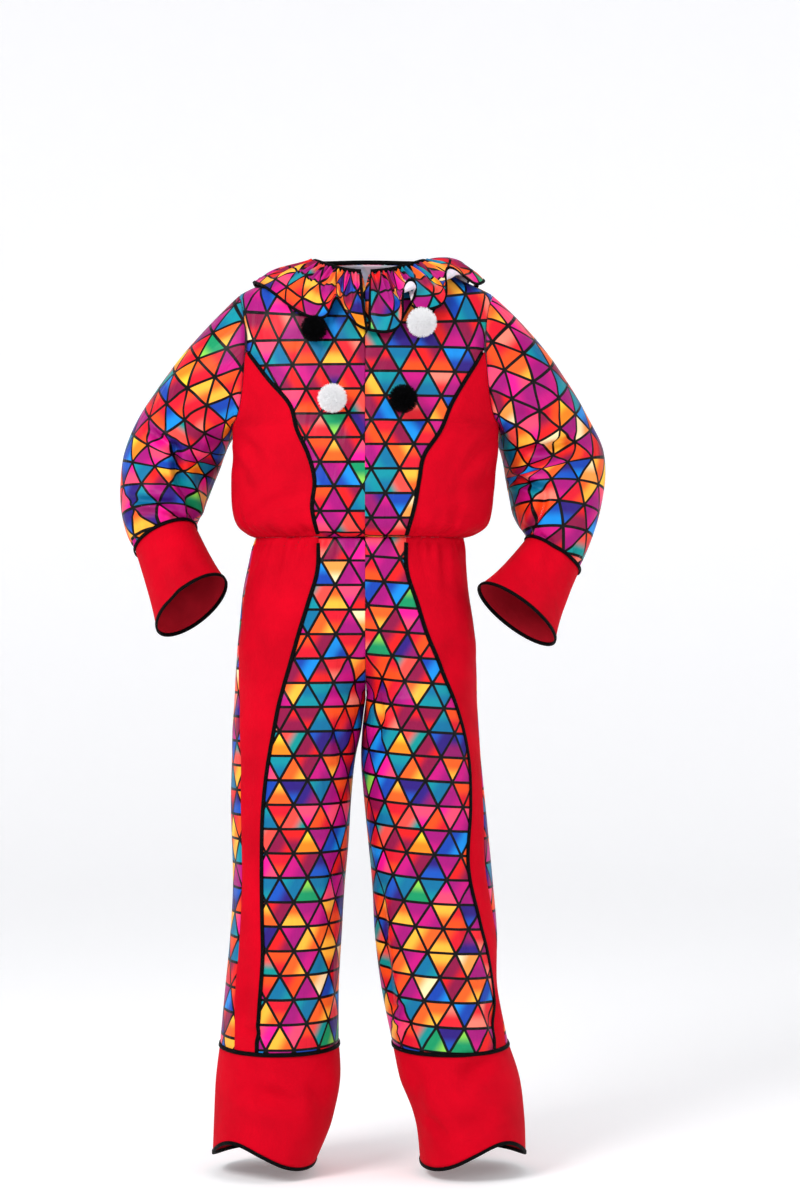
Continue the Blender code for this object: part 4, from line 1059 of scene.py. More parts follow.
@dataclass
class Sheet:
    """A flat cut of the suit between two seams of a skin."""

    skin: Skin
    first: float
    last: float
    edges: Callable[[float], tuple[float, float]]
    middle: Callable[[float], float]
    pitch: float = 0.0048
    closed: bool = False
    side: Side = Side.LEFT
    shift: tuple[float, float] = (0.0, 0.0)
    tilt: float = 0.0
    arcs: Array = field(init=False)
    down: Array = field(init=False)
    turns: Array = field(init=False)

    def lay(self) -> Cloth:
        """The smooth cloth, with its flat cut measured from its middle line."""
        rough = np.linspace(self.first, self.last, 60)
        middles = np.array([self.skin.point(t, np.array([self.middle(t)]))[0] for t in rough])
        run = run_along(middles)
        rows = np.interp(np.linspace(0, run[-1], max(4, round(run[-1] / self.pitch)) + 1), run, rough)
        heights = np.interp(rows, rough, run)
        widest = 0.0
        for t in rows[:: max(1, len(rows) // 8)]:
            lengths = self.skin.lengths(t)
            start, end = np.interp(self.edges(t), Skin.TURNS, lengths)
            widest = max(widest, end - start)
        columns = max(6, round(widest / self.pitch))
        points, normals, arcs, turns = [], [], [], []
        for t in rows:
            start, end = self.edges(t)
            here = self.skin.spaced(t, start, end, columns)
            lengths = self.skin.lengths(t)
            points.append(self.skin.point(t, here))
            normals.append(self.skin.normal(t, here))
            arcs.append(np.interp(here, Skin.TURNS, lengths) - np.interp(self.middle(t), Skin.TURNS, lengths))
            turns.append(here)
        self.arcs, self.turns = np.array(arcs), np.array(turns)
        self.down = np.tile(heights[:, None], (1, columns + 1))
        angle = np.radians(self.tilt)
        u = self.arcs * self.side.value * np.cos(angle) - self.down * np.sin(angle) + self.shift[0]
        v = -self.down * np.cos(angle) - self.arcs * self.side.value * np.sin(angle) + self.shift[1]
        cloth = Cloth(np.array(points), np.array(normals), np.stack([u, v], axis=-1), self.closed)
        return cloth.mirrored(self.side)


SEAM_DIP = 0.0011
SEAM_ROLL = 0.0045


def seam_dip(cloth: Cloth, top: bool = True, bottom: bool = True, sides: bool = True) -> Array:
    """Cloth rolls in a little where it is sewn."""
    down = np.linalg.norm(np.diff(cloth.points, axis=0), axis=-1)
    across = np.linalg.norm(np.diff(cloth.points, axis=1), axis=-1)
    from_top = np.concatenate([np.zeros((1, down.shape[1])), np.cumsum(down, axis=0)])
    from_left = np.concatenate([np.zeros((across.shape[0], 1)), np.cumsum(across, axis=1)], axis=1)
    height = np.zeros(cloth.points.shape[:2])
    edges = []
    if top:
        edges.append(from_top)
    if bottom:
        edges.append(from_top[-1:] - from_top)
    if sides:
        edges += [from_left, from_left[:, -1:] - from_left]
    for distance in edges:
        height = np.minimum(height, -SEAM_DIP * np.exp(-((distance / SEAM_ROLL) ** 2)))
    return height


# Piping over a front seam, and how far across its half the stitches run.
PIPING_WIDTH = 0.0070
PIPING_LIFT = 0.0002
PIPING_HEIGHT = 0.0022
STITCH_SHARE = 0.62


@dataclass
class Suit:
    """What the parts of the suit share: finishes, the row's body, and the list of what was made."""

    finishes: Finishes
    body: str = "root"
    made: list[str] = field(default_factory=list)
    seams: dict[str, list[Array]] = field(default_factory=dict)

    def note_seam(
        self, group: str, path: Array, across: Array, out: Array, place: float, lift: float
    ) -> None:
        """Notes a line to be stitched: beside a tape's path by place, and out of the cloth by lift."""
        self.seams.setdefault(group, []).append(path + across * place + out * lift)

    def wear(self, piece: bpy.types.Object, node: str, slot: Slot) -> bpy.types.Object:
        """Puts a piece on the frame in place of a node."""
        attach(piece, self.body)
        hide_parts(node)
        self.made.append(piece.name)
        LOG.info("%s: %d faces, in place of %s", piece.name, len(piece.data.polygons), node)
        return piece

    def add(self, piece: bpy.types.Object, slot: Slot) -> bpy.types.Object:
        """Puts on a piece that no node stands for, such as sewing."""
        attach(piece, self.body)
        self.made.append(piece.name)
        LOG.info("%s: %d faces", piece.name, len(piece.data.polygons))
        return piece

    def pipe(self, node: str, path: Array, out: Array) -> None:
        """Lays piping over a seam, and notes a line of stitches along each of its edges."""
        across = unit(np.cross(unit(np.gradient(path, axis=0)), out))
        half = PIPING_WIDTH / 2
        height = (PIPING_LIFT, PIPING_HEIGHT)
        piece = ribbon(node + "_tape", path, across, out, (-half, half), height, self.finishes.tape)
        self.wear(piece, node, Slot.TAPE)
        group = node.rsplit("_", 1)[0]
        for edge in (-1, 1):
            self.note_seam(group, path, across, out, edge * half * STITCH_SHARE, PIPING_HEIGHT)

    def sew(self, cloth: Cloth, node: str, slot: Slot, held: str, rests_on: list[str]) -> bpy.types.Object:
        """Builds a cut of cloth in the finishes of its slot."""
        fronts = {Slot.SATIN: (self.finishes.satin, self.finishes.satin_back),
                  Slot.RED: (self.finishes.red, self.finishes.red_back)}
        piece = self.wear(cloth.build(node + "_cloth", *fronts[slot]), node, slot)
        return piece


BODICE_CREASES = (
    Crease(-0.197, -0.394, -0.090, -0.348, 0.0110, -0.0036, 0.006),
    Crease(-0.206, -0.066, -0.196, -0.128, 0.0080, -0.0034, 0.002),
    Crease(-0.226, -0.246, -0.160, -0.322, 0.0100, -0.0042, 0.008),
    Crease(-0.224, -0.272, -0.178, -0.352, 0.0085, -0.0028, -0.005),
    Crease(0.224, -0.248, 0.158, -0.330, 0.0100, -0.0042, -0.008),
    Crease(0.222, -0.286, 0.176, -0.356, 0.0085, -0.0026, 0.006),
    Crease(0.205, -0.078, 0.190, -0.150, 0.0090, -0.0030, -0.003),
    Crease(-0.120, -0.196, -0.030, -0.262, 0.0200, -0.0030, 0.010),
    Crease(0.130, -0.188, 0.040, -0.276, 0.0200, -0.0030, -0.012),
    Crease(-0.078, -0.300, 0.010, -0.338, 0.0160, -0.0022, 0.006),
    Crease(0.020, -0.352, 0.082, -0.318, 0.0150, -0.0022, -0.004),
    Crease(0.192, -0.398, 0.110, -0.372, 0.0120, -0.0034, 0.004),
    Crease(-0.204, -0.232, -0.088, -0.336, 0.0130, -0.0050, 0.012, Facing.BACK),
    Crease(-0.212, -0.276, -0.130, -0.372, 0.0110, -0.0038, -0.008, Facing.BACK),
    Crease(0.206, -0.236, 0.098, -0.350, 0.0130, -0.0050, -0.012, Facing.BACK),
    Crease(0.212, -0.290, 0.140, -0.366, 0.0110, -0.0036, 0.006, Facing.BACK),
    Crease(-0.150, -0.090, -0.050, -0.128, 0.0150, -0.0032, 0.008, Facing.BACK),
    Crease(0.052, -0.124, 0.158, -0.094, 0.0150, -0.0032, -0.006, Facing.BACK),
    Crease(-0.034, -0.170, -0.052, -0.318, 0.0170, -0.0034, 0.012, Facing.BACK),
    Crease(0.050, -0.196, 0.036, -0.352, 0.0150, -0.0030, -0.010, Facing.BACK),
    Crease(-0.116, -0.378, -0.010, -0.396, 0.0120, -0.0036, 0.006, Facing.BACK),
    Crease(0.030, -0.384, 0.130, -0.402, 0.0110, -0.0032, -0.005, Facing.BACK),
)


def fullness(cloth: Cloth) -> Array:
    """How much of the waist's gathering each point takes: little at the centre front, all of it elsewhere."""
    across = np.abs(cloth.points[..., 0])
    front = 0.12 + 0.88 * smooth_step((across - 0.050) / 0.035)
    return np.where(cloth.points[..., 1] < 0, front, 1.0)


@dataclass
class Bodice:
    """The bodice: two printed fronts, two red sides, and the printed back, gathered into the waist."""

    suit: Suit
    waist: Gathers = Gathers(0.017, 0.0098, 0.050, 11)
    slit: float = 0.0055

    def relief(self, sheet: Sheet, cloth: Cloth) -> Array:
        """Creases, the waist's gathers and the seams."""
        length = float(TRUNK_SKIN.lengths(0.6)[-1])
        arc = sheet.turns * length
        height = creased(BODICE_CREASES, cloth.points, cloth.normals)
        from_waist = sheet.down
        height += self.waist.relief(arc, from_waist, length) * fullness(cloth)
        return height + seam_dip(cloth, top=False, bottom=False)

    def cut(self, name: str, edges, middle, last: float, slot: Slot, **layout) -> Cloth:
        """One panel of the bodice, sewn and hung."""
        sheet = Sheet(TRUNK_SKIN, WAIST, last, edges, middle, **layout)
        smooth = sheet.lay()
        cloth = smooth.moved_out(self.relief(sheet, smooth))
        self.suit.sew(cloth, name, slot, "hung", ["neck_binding"])
        return cloth

    def build(self) -> None:
        """Builds the panels and the piping on their seams."""
        for side in Side:
            near = 0.0 if side is Side.LEFT else 1.0

            def centre_edges(t: float) -> tuple[float, float]:
                """From the centre front to the front seam, or to the armhole above it."""
                outer = bodice_seam_turn(t, side) if t <= SEAM_TOP else armhole_turns(t, side)[0]
                slit = self.slit * max(0.0, t - (NECK - 2)) / 2
                inner = TRUNK_SKIN.moved(t, near, slit * side.value)
                return (inner, outer) if side is Side.LEFT else (outer, inner)

            def side_edges(t: float) -> tuple[float, float]:
                """From the front seam to the side seam or the armhole."""
                inner, outer = bodice_seam_turn(t, side), armhole_turns(t, side)[0]
                return (inner, outer) if side is Side.LEFT else (outer, inner)

            shift = (0.013, 0.006) if side is Side.LEFT else (0.004, 0.017)
            self.cut(
                f"bodice_front_centre_{side.word}", centre_edges, lambda t: near, NECK, Slot.SATIN,
                shift=shift
            )
            red = self.cut(
                f"bodice_front_side_{side.word}", side_edges, lambda t: sum(side_edges(t)) / 2, SEAM_TOP,
                Slot.RED
            )
            edge = 0 if side is Side.LEFT else -1
            self.suit.pipe(f"bodice_piping_{side.word}", red.points[2:, edge], red.normals[2:, edge])

        def back_edges(t: float) -> tuple[float, float]:
            """From one side seam to the other, round the back."""
            return armhole_turns(t, Side.LEFT)[1], armhole_turns(t, Side.RIGHT)[1]

        self.cut("bodice_back", back_edges, lambda t: 0.5, NECK, Slot.SATIN, shift=(0.31, 0.02))


@dataclass
class Trousers:
    """The trousers: on each leg a printed centre front, a red side and a printed back."""

    suit: Suit
    waist: Gathers = Gathers(0.017, 0.0085, 0.066, 23)
    grain: float = 0.110

    def relief(self, sheet: Sheet, cloth: Cloth, skin: Skin) -> Array:
        """Creases, the waist's gathers and the seams."""
        length = float(skin.lengths(0.0)[-1])
        height = creased(TROUSER_CREASES, cloth.points, cloth.normals)
        height += self.waist.relief(sheet.turns * length, sheet.down, length) * fullness(cloth)
        return height + seam_dip(cloth, top=False)

    def build(self) -> None:
        """Builds both legs down to the hem bands."""
        for side in Side:
            skin = Skin(leg_loop(side), last=HEM_SEAM, outwards=-1)

            def seam_turn(t: float) -> float:
                """Where the front seam crosses row t."""
                height = float(along_table(LEGS, t).height)
                return skin.turn_at_x(t, at_height(TROUSER_SEAM, side.word, height), 0.0, 0.5)

            def side_turn(t: float) -> float:
                """Where the side seam crosses row t."""
                width = at_height(TROUSER_SEAM, "red_width", float(along_table(LEGS, t).height))
                return skin.moved(t, seam_turn(t), width)

            cuts = {
                "front_centre": (
                    Slot.SATIN, lambda t: (0.0, seam_turn(t)),
                    lambda t: skin.turn_at_x(t, self.grain, 0.0, 0.5)
                ),
                "front_side": (Slot.RED, lambda t: (seam_turn(t), side_turn(t)), seam_turn),
                "back": (
                    Slot.SATIN, lambda t: (side_turn(t), 1.0),
                    lambda t: skin.turn_at_x(t, self.grain, 0.5, 1.0)
                ),
            }
            for k, (word, (slot, edges, middle)) in enumerate(cuts.items()):
                name = f"trouser_{word}_{side.word}"
                tilt = -4.0 if side is Side.LEFT and word == "front_centre" else 0.0
                shift = (0.11 * k + 0.03, 0.07 * k)
                sheet = Sheet(skin, 0, HEM_SEAM, edges, middle, side=side, shift=shift, tilt=tilt)
                smooth = sheet.lay()
                cloth = smooth.moved_out(self.relief(sheet, smooth, skin))
                self.suit.sew(cloth, name, slot, "hung", [f"bodice_front_centre_{side.word}_cloth"])
                if word == "front_side":
                    path, out = cloth.points[2:-1, 0], cloth.normals[2:-1, 0]
                    self.suit.pipe(f"trouser_piping_{side.word}", path, out)


TROUSER_CREASES = (
    Crease(0.010, -0.672, 0.012, -0.764, 0.0075, -0.0048, 0.014),
    Crease(0.034, -0.684, 0.052, -0.728, 0.0090, -0.0024, 0.004),
    Crease(-0.034, -0.708, -0.030, -0.800, 0.0075, -0.0042, -0.012),
    Crease(-0.008, -0.640, -0.060, -0.596, 0.0120, -0.0028, 0.004),
    Crease(0.012, -0.648, 0.066, -0.612, 0.0120, -0.0026, -0.004),
    Crease(0.024, -0.962, 0.052, -1.236, 0.0090, -0.0056, -0.008),
    Crease(0.040, -1.236, 0.082, -1.216, 0.0055, -0.0036, 0.003),
    Crease(0.036, -1.196, 0.070, -1.188, 0.0060, -0.0028, -0.003),
    Crease(0.160, -0.982, 0.168, -1.128, 0.0085, -0.0036, 0.004),
    Crease(0.200, -1.170, 0.222, -1.252, 0.0085, -0.0042, -0.003),
    Crease(0.112, -1.060, 0.140, -1.230, 0.0170, -0.0030, 0.010),
    Crease(-0.052, -0.930, -0.062, -1.090, 0.0130, -0.0036, 0.010),
    Crease(-0.214, -1.230, -0.150, -1.244, 0.0075, -0.0034, 0.004),
    Crease(-0.196, -1.120, -0.204, -1.236, 0.0100, -0.0036, 0.004),
    Crease(-0.110, -1.100, -0.090, -1.238, 0.0170, -0.0030, -0.008),
    Crease(-0.205, -0.560, -0.140, -0.700, 0.0170, -0.0030, 0.014),
    Crease(0.176, -0.560, 0.130, -0.690, 0.0170, -0.0028, -0.014),
    Crease(-0.012, -0.676, -0.120, -0.600, 0.0190, -0.0050, -0.010, Facing.BACK),
    Crease(-0.020, -0.730, -0.130, -0.690, 0.0180, -0.0040, -0.012, Facing.BACK),
    Crease(0.008, -0.680, 0.112, -0.610, 0.0190, -0.0050, 0.010, Facing.BACK),
    Crease(0.016, -0.738, 0.118, -0.704, 0.0180, -0.0038, 0.012, Facing.BACK),
    Crease(-0.050, -0.880, -0.190, -0.912, 0.0140, -0.0050, 0.012, Facing.BACK),
    Crease(-0.060, -0.946, -0.206, -0.932, 0.0130, -0.0044, -0.010, Facing.BACK),
    Crease(-0.070, -0.998, -0.176, -1.016, 0.0120, -0.0034, 0.008, Facing.BACK),
    Crease(0.040, -0.892, 0.176, -0.906, 0.0140, -0.0050, -0.012, Facing.BACK),
    Crease(0.050, -0.958, 0.196, -0.940, 0.0130, -0.0044, 0.010, Facing.BACK),
    Crease(0.064, -1.010, 0.160, -1.030, 0.0120, -0.0034, -0.006, Facing.BACK),
    Crease(-0.196, -1.232, -0.070, -1.214, 0.0090, -0.0046, 0.006, Facing.BACK),
    Crease(-0.170, -1.186, -0.090, -1.196, 0.0080, -0.0034, -0.004, Facing.BACK),
    Crease(0.074, -1.238, 0.200, -1.220, 0.0090, -0.0046, -0.006, Facing.BACK),
    Crease(0.090, -1.190, 0.170, -1.198, 0.0080, -0.0034, 0.005, Facing.BACK),
    Crease(-0.120, -0.450, -0.128, -0.560, 0.0160, -0.0034, 0.008, Facing.BACK),
    Crease(0.070, -0.452, 0.062, -0.556, 0.0160, -0.0032, -0.008, Facing.BACK),
)
HEM_CREASES = (
    Crease(-0.218, -1.322, -0.102, -1.356, 0.0150, -0.0078, 0.005),
    Crease(-0.196, -1.274, -0.158, -1.318, 0.0170, -0.0052, -0.004),
    Crease(-0.090, -1.300, -0.062, -1.394, 0.0160, -0.0042, 0.006),
    Crease(0.150, -1.316, 0.214, -1.272, 0.0150, -0.0078, 0.004),
    Crease(0.084, -1.282, 0.090, -1.384, 0.0140, -0.0044, -0.006),
    Crease(0.098, -1.368, 0.134, -1.412, 0.0080, -0.0034, 0.002),
    Crease(0.138, -1.380, 0.214, -1.362, 0.0160, -0.0040, -0.006),
    Crease(-0.220, -1.324, -0.110, -1.350, 0.0140, -0.0048, 0.008, Facing.BACK),
    Crease(-0.190, -1.392, -0.090, -1.376, 0.0130, -0.0038, -0.006, Facing.BACK),
    Crease(0.100, -1.332, 0.224, -1.312, 0.0140, -0.0048, -0.008, Facing.BACK),
    Crease(0.120, -1.386, 0.216, -1.400, 0.0130, -0.0036, 0.006, Facing.BACK),
)


@dataclass
class Tube:
    """A closed ring of cloth, such as a sleeve, a cuff or a hem band, with tape round its edges."""

    suit: Suit
    side: Side

    def lay(self, skin: Skin, middle: float, **layout) -> tuple[Sheet, Cloth]:
        """The smooth ring and its sheet."""
        edges = (lambda t: (0.0, 1.0)), (lambda t: middle)
        sheet = Sheet(skin, 0.0, skin.last, *edges, closed=True, side=self.side, **layout)
        return sheet, sheet.lay()

    def ring(
        self, node: str, cloth: Cloth, row: int, width: tuple[float, float], height: tuple[float, float]
    ) -> None:
        """Lays tape round a row of the cloth; width runs down the ring and height out of it."""
        path = cloth.points[row, :-1]
        out = cloth.normals[row, :-1]
        step = cloth.points[1] - cloth.points[0] if row == 0 else cloth.points[-1] - cloth.points[-2]
        piece = ribbon(
            node + "_tape", path, unit(step[:-1]), out, width, height, self.suit.finishes.tape, closed=True
        )
        self.suit.wear(piece, node, Slot.TAPE)
        place = width[0] * 0.7 + width[1] * 0.3 if row == 0 else width[0] + 0.0010
        round_it = np.concatenate([np.arange(len(path)), [0]])
        group, across = node.split("_")[0], unit(step[round_it])
        self.suit.note_seam(group, path[round_it], across, out[round_it], place, height[1])


SLEEVE_CREASES = (
    Crease(-0.366, -0.234, -0.302, -0.280, 0.0075, -0.0095, -0.006),
    Crease(-0.317, -0.252, -0.300, -0.356, 0.0070, -0.0115, -0.006),
    Crease(-0.306, -0.324, -0.284, -0.404, 0.0070, -0.0090, 0.003),
    Crease(-0.296, -0.254, -0.282, -0.368, 0.0120, 0.0050, -0.005),
    Crease(-0.340, -0.262, -0.324, -0.366, 0.0120, 0.0042, -0.004),
    Crease(-0.412, -0.358, -0.302, -0.368, 0.0060, -0.0064, 0.003),
    Crease(-0.400, -0.378, -0.330, -0.384, 0.0055, -0.0034, 0.003),
    Crease(-0.344, -0.384, -0.294, -0.396, 0.0050, -0.0044, 0.003),
    Crease(-0.256, -0.150, -0.330, -0.206, 0.0160, -0.0034, 0.008),
    Crease(-0.244, -0.214, -0.310, -0.240, 0.0120, -0.0036, -0.006),
    Crease(-0.246, -0.262, -0.290, -0.320, 0.0100, -0.0034, 0.006),
    Crease(0.252, -0.280, 0.356, -0.252, 0.0075, -0.0100, -0.006),
    Crease(0.262, -0.254, 0.342, -0.232, 0.0120, 0.0040, -0.005),
    Crease(0.234, -0.322, 0.302, -0.346, 0.0070, -0.0084, 0.003),
    Crease(0.298, -0.330, 0.270, -0.412, 0.0070, -0.0092, 0.006),
    Crease(0.318, -0.300, 0.384, -0.322, 0.0130, -0.0040, 0.006),
    Crease(0.312, -0.350, 0.320, -0.404, 0.0110, 0.0032, 0.003),
    Crease(0.250, -0.156, 0.316, -0.196, 0.0160, -0.0034, -0.008),
    Crease(0.240, -0.222, 0.298, -0.232, 0.0110, -0.0034, 0.005),
    Crease(-0.386, -0.262, -0.252, -0.292, 0.0120, -0.0085, 0.010, Facing.BACK),
    Crease(-0.398, -0.306, -0.268, -0.326, 0.0110, -0.0075, -0.008, Facing.BACK),
    Crease(-0.390, -0.352, -0.290, -0.360, 0.0090, -0.0050, 0.006, Facing.BACK),
    Crease(-0.240, -0.236, -0.318, -0.160, 0.0120, -0.0050, 0.010, Facing.BACK),
    Crease(-0.236, -0.190, -0.286, -0.118, 0.0120, -0.0040, -0.006, Facing.BACK),
    Crease(0.380, -0.258, 0.250, -0.290, 0.0120, -0.0085, -0.010, Facing.BACK),
    Crease(0.388, -0.310, 0.262, -0.322, 0.0110, -0.0075, 0.008, Facing.BACK),
    Crease(0.376, -0.356, 0.280, -0.366, 0.0090, -0.0050, -0.006, Facing.BACK),
    Crease(0.242, -0.232, 0.314, -0.158, 0.0120, -0.0050, -0.010, Facing.BACK),
    Crease(0.236, -0.186, 0.282, -0.116, 0.0120, -0.0040, 0.006, Facing.BACK),
)
CUFF_CREASES = (
    Crease(-0.352, -0.448, -0.318, -0.536, 0.0120, -0.0026, 0.004),
    Crease(-0.300, -0.438, -0.268, -0.486, 0.0100, -0.0022, -0.004),
    Crease(0.310, -0.424, 0.292, -0.492, 0.0110, -0.0024, 0.004),
    Crease(0.364, -0.470, 0.350, -0.548, 0.0120, -0.0026, -0.004),
    Crease(-0.340, -0.480, -0.290, -0.540, 0.0130, -0.0034, 0.006, Facing.BACK),
    Crease(0.330, -0.460, 0.300, -0.520, 0.0130, -0.0034, -0.006, Facing.BACK),
)


@dataclass
class Arm(Tube):
    """A sleeve gathered into its cuff, and the flared cuff."""

    gathers: Gathers = Gathers(0.020, 0.0075, 0.035, 31)
    pitch: float = 0.0043

    def cut_places(self, sheet: Sheet, smooth: Cloth, shift: tuple[float, float]) -> Array:
        """Places on the sleeve's cut, along the arm and square to it, so the print's rows cross the arm."""
        centre = smooth.points[:, :-1].mean(axis=1)
        run = run_along(centre)
        arm = unit(eased(np.gradient(centre, axis=0), 14, 0))[:, None]
        down = run[:, None] + ((smooth.points - centre[:, None]) * arm).sum(axis=-1)
        around = np.diff(smooth.points, axis=1)
        square = np.linalg.norm(around - (around * arm).sum(axis=-1, keepdims=True) * arm, axis=-1)
        arcs = np.concatenate([np.zeros((len(centre), 1)), np.cumsum(square, axis=1)], axis=1)
        middle = np.array([np.interp(0.5, turns, arc) for turns, arc in zip(sheet.turns, arcs)])
        return np.stack([(arcs - middle[:, None]) * self.side.value + shift[0], shift[1] - down], axis=-1)

    def build(self) -> None:
        """Builds the sleeve, the cuff and their tape."""
        skin = Skin(sleeve_loop(self.side, armhole_edge(self.side)), last=CUFF_SEAM, outwards=-1)
        name = f"sleeve_{self.side.word}"
        shift = (0.27, 0.013) if self.side is Side.LEFT else (0.52, 0.031)
        sheet, smooth = self.lay(skin, 0.5, shift=shift, pitch=self.pitch)
        smooth.places = self.cut_places(sheet, smooth, shift)
        length = float(skin.lengths(CUFF_SEAM)[-1])
        height = creased(SLEEVE_CREASES, smooth.points, smooth.normals)
        height += self.gathers.relief(sheet.turns * length, sheet.down[-1:] - sheet.down, length)
        height += seam_dip(smooth, sides=False)
        height = height * np.minimum(1.0, sheet.down / 0.02)
        self.suit.sew(smooth.moved_out(height), name, Slot.SATIN, "hung", ["bodice_back_cloth"])
        cuff_skin = Skin(cuff_loop(self.side), last=1.0, outwards=-1)
        name = f"cuff_{self.side.word}"
        _, smooth = self.lay(cuff_skin, 0.5)
        cuff = smooth.moved_out(creased(CUFF_CREASES, smooth.points, smooth.normals))
        self.suit.sew(cuff, name, Slot.RED, "hung", [f"sleeve_{self.side.word}_cloth"])
        self.ring(f"cuff_piping_{self.side.word}", cuff, 0, (-0.002, 0.005), (0.0005, 0.0032))
        self.ring(f"cuff_binding_{self.side.word}", cuff, -1, (-0.0015, 0.005), (-0.0024, 0.0015))


@dataclass
class Hem(Tube):
    """The deep red band at the foot of a leg."""

    def build(self) -> None:
        """Builds the band and its tape."""
        skin = Skin(band_loop(self.side), last=len(BANDS) - 1, outwards=-1)
        name = f"hem_band_{self.side.word}"
        _, smooth = self.lay(skin, 0.25)
        height = creased(HEM_CREASES, smooth.points, smooth.normals)
        band = smooth.moved_out(height + seam_dip(smooth, bottom=False, sides=False))
        self.suit.sew(band, name, Slot.RED, "hung", [f"trouser_front_side_{self.side.word}_cloth"])
        self.ring(f"hem_piping_{self.side.word}", band, 0, (-0.0035, 0.0035), (0.0005, 0.0030))
        self.ring(f"hem_binding_{self.side.word}", band, -1, (-0.0015, 0.005), (-0.0024, 0.0015))


class EdgePoint(NamedTuple):
    """A point of the ruffle's free edge: where it is sewn on the neck, its place, and its middle's bulge.

    out moves the middle of the cloth away from the neck, and up raises it. Where up is below 0 the edge turns
    back up and shows the wrong side.
    """

    turn: float
    x: float
    y: float
    z: float
    out: float
    up: float


RUFFLE_FRONT_LEFT = (
    EdgePoint(0.012, 0.0055, -0.130, -0.087, 0.016, 0.010),
    EdgePoint(0.022, 0.0258, -0.134, -0.091, 0.020, 0.012),
    EdgePoint(0.031, 0.0404, -0.134, -0.090, 0.021, 0.010),
    EdgePoint(0.039, 0.0515, -0.132, -0.085, 0.019, 0.008),
    EdgePoint(0.045, 0.0590, -0.129, -0.074, 0.016, 0.002),
    EdgePoint(0.050, 0.0615, -0.127, -0.058, 0.016, -0.010),
    EdgePoint(0.055, 0.0612, -0.125, -0.038, 0.020, -0.026),
    EdgePoint(0.060, 0.0625, -0.124, -0.018, 0.030, -0.042),
    EdgePoint(0.066, 0.0690, -0.124, -0.005, 0.038, -0.052),
    EdgePoint(0.072, 0.0775, -0.122, -0.004, 0.038, -0.050),
    EdgePoint(0.078, 0.0835, -0.118, -0.014, 0.030, -0.036),
    EdgePoint(0.084, 0.0815, -0.117, -0.030, 0.018, -0.016),
    EdgePoint(0.090, 0.0760, -0.119, -0.043, 0.012, 0.000),
    EdgePoint(0.098, 0.0810, -0.123, -0.051, 0.016, 0.010),
    EdgePoint(0.110, 0.0960, -0.121, -0.053, 0.024, 0.016),
    EdgePoint(0.122, 0.1120, -0.116, -0.051, 0.026, 0.016),
    EdgePoint(0.134, 0.1260, -0.109, -0.043, 0.024, 0.008),
    EdgePoint(0.143, 0.1325, -0.101, -0.028, 0.022, -0.006),
    EdgePoint(0.150, 0.1325, -0.094, -0.010, 0.028, -0.022),
    EdgePoint(0.157, 0.1305, -0.088, 0.008, 0.040, -0.036),
    EdgePoint(0.165, 0.1335, -0.083, 0.020, 0.048, -0.042),
    EdgePoint(0.175, 0.1435, -0.077, 0.020, 0.048, -0.038),
    EdgePoint(0.187, 0.1570, -0.067, 0.012, 0.040, -0.020),
    EdgePoint(0.201, 0.1710, -0.054, 0.002, 0.028, 0.006),
    EdgePoint(0.217, 0.1845, -0.037, -0.003, 0.016, 0.024),
    EdgePoint(0.233, 0.1950, -0.016, 0.002, 0.010, 0.032),
    EdgePoint(0.246, 0.1975, 0.006, 0.008, 0.008, 0.036),
)
RUFFLE_FRONT_RIGHT = (
    EdgePoint(0.757, -0.1860, 0.004, 0.004, 0.004, 0.010),
    EdgePoint(0.774, -0.1835, -0.014, 0.002, 0.006, 0.010),
    EdgePoint(0.790, -0.1750, -0.034, -0.004, 0.008, 0.011),
    EdgePoint(0.808, -0.1640, -0.056, -0.012, 0.010, 0.013),
    EdgePoint(0.827, -0.1500, -0.076, -0.023, 0.014, 0.017),
    EdgePoint(0.846, -0.1350, -0.092, -0.036, 0.016, 0.016),
    EdgePoint(0.864, -0.1190, -0.105, -0.049, 0.017, 0.015),
    EdgePoint(0.881, -0.1030, -0.115, -0.059, 0.018, 0.014),
    EdgePoint(0.897, -0.0870, -0.123, -0.066, 0.018, 0.012),
    EdgePoint(0.911, -0.0725, -0.128, -0.068, 0.018, 0.010),
    EdgePoint(0.922, -0.0620, -0.130, -0.063, 0.016, 0.006),
    EdgePoint(0.930, -0.0560, -0.129, -0.051, 0.012, 0.002),
    EdgePoint(0.936, -0.0520, -0.127, -0.040, 0.008, -0.004),
    EdgePoint(0.941, -0.0465, -0.134, -0.034, 0.012, -0.020),
    EdgePoint(0.946, -0.0405, -0.141, -0.040, 0.018, -0.030),
    EdgePoint(0.952, -0.0330, -0.146, -0.055, 0.022, -0.030),
    EdgePoint(0.960, -0.0235, -0.146, -0.070, 0.022, -0.020),
    EdgePoint(0.970, -0.0110, -0.141, -0.081, 0.017, -0.002),
    EdgePoint(0.988, 0.0040, -0.134, -0.087, 0.012, 0.009),
)


def eased(values: Array, reach: int, axis: int) -> Array:
    """The values spread over their neighbours on each side along an axis, with the ends held."""
    window = np.hanning(2 * reach + 3)[1:-1]
    pads = [(reach, reach) if k == axis else (0, 0) for k in range(values.ndim)]
    padded = np.pad(values, pads, mode="edge")
    return np.apply_along_axis(lambda line: np.convolve(line, window / window.sum(), "valid"), axis, padded)


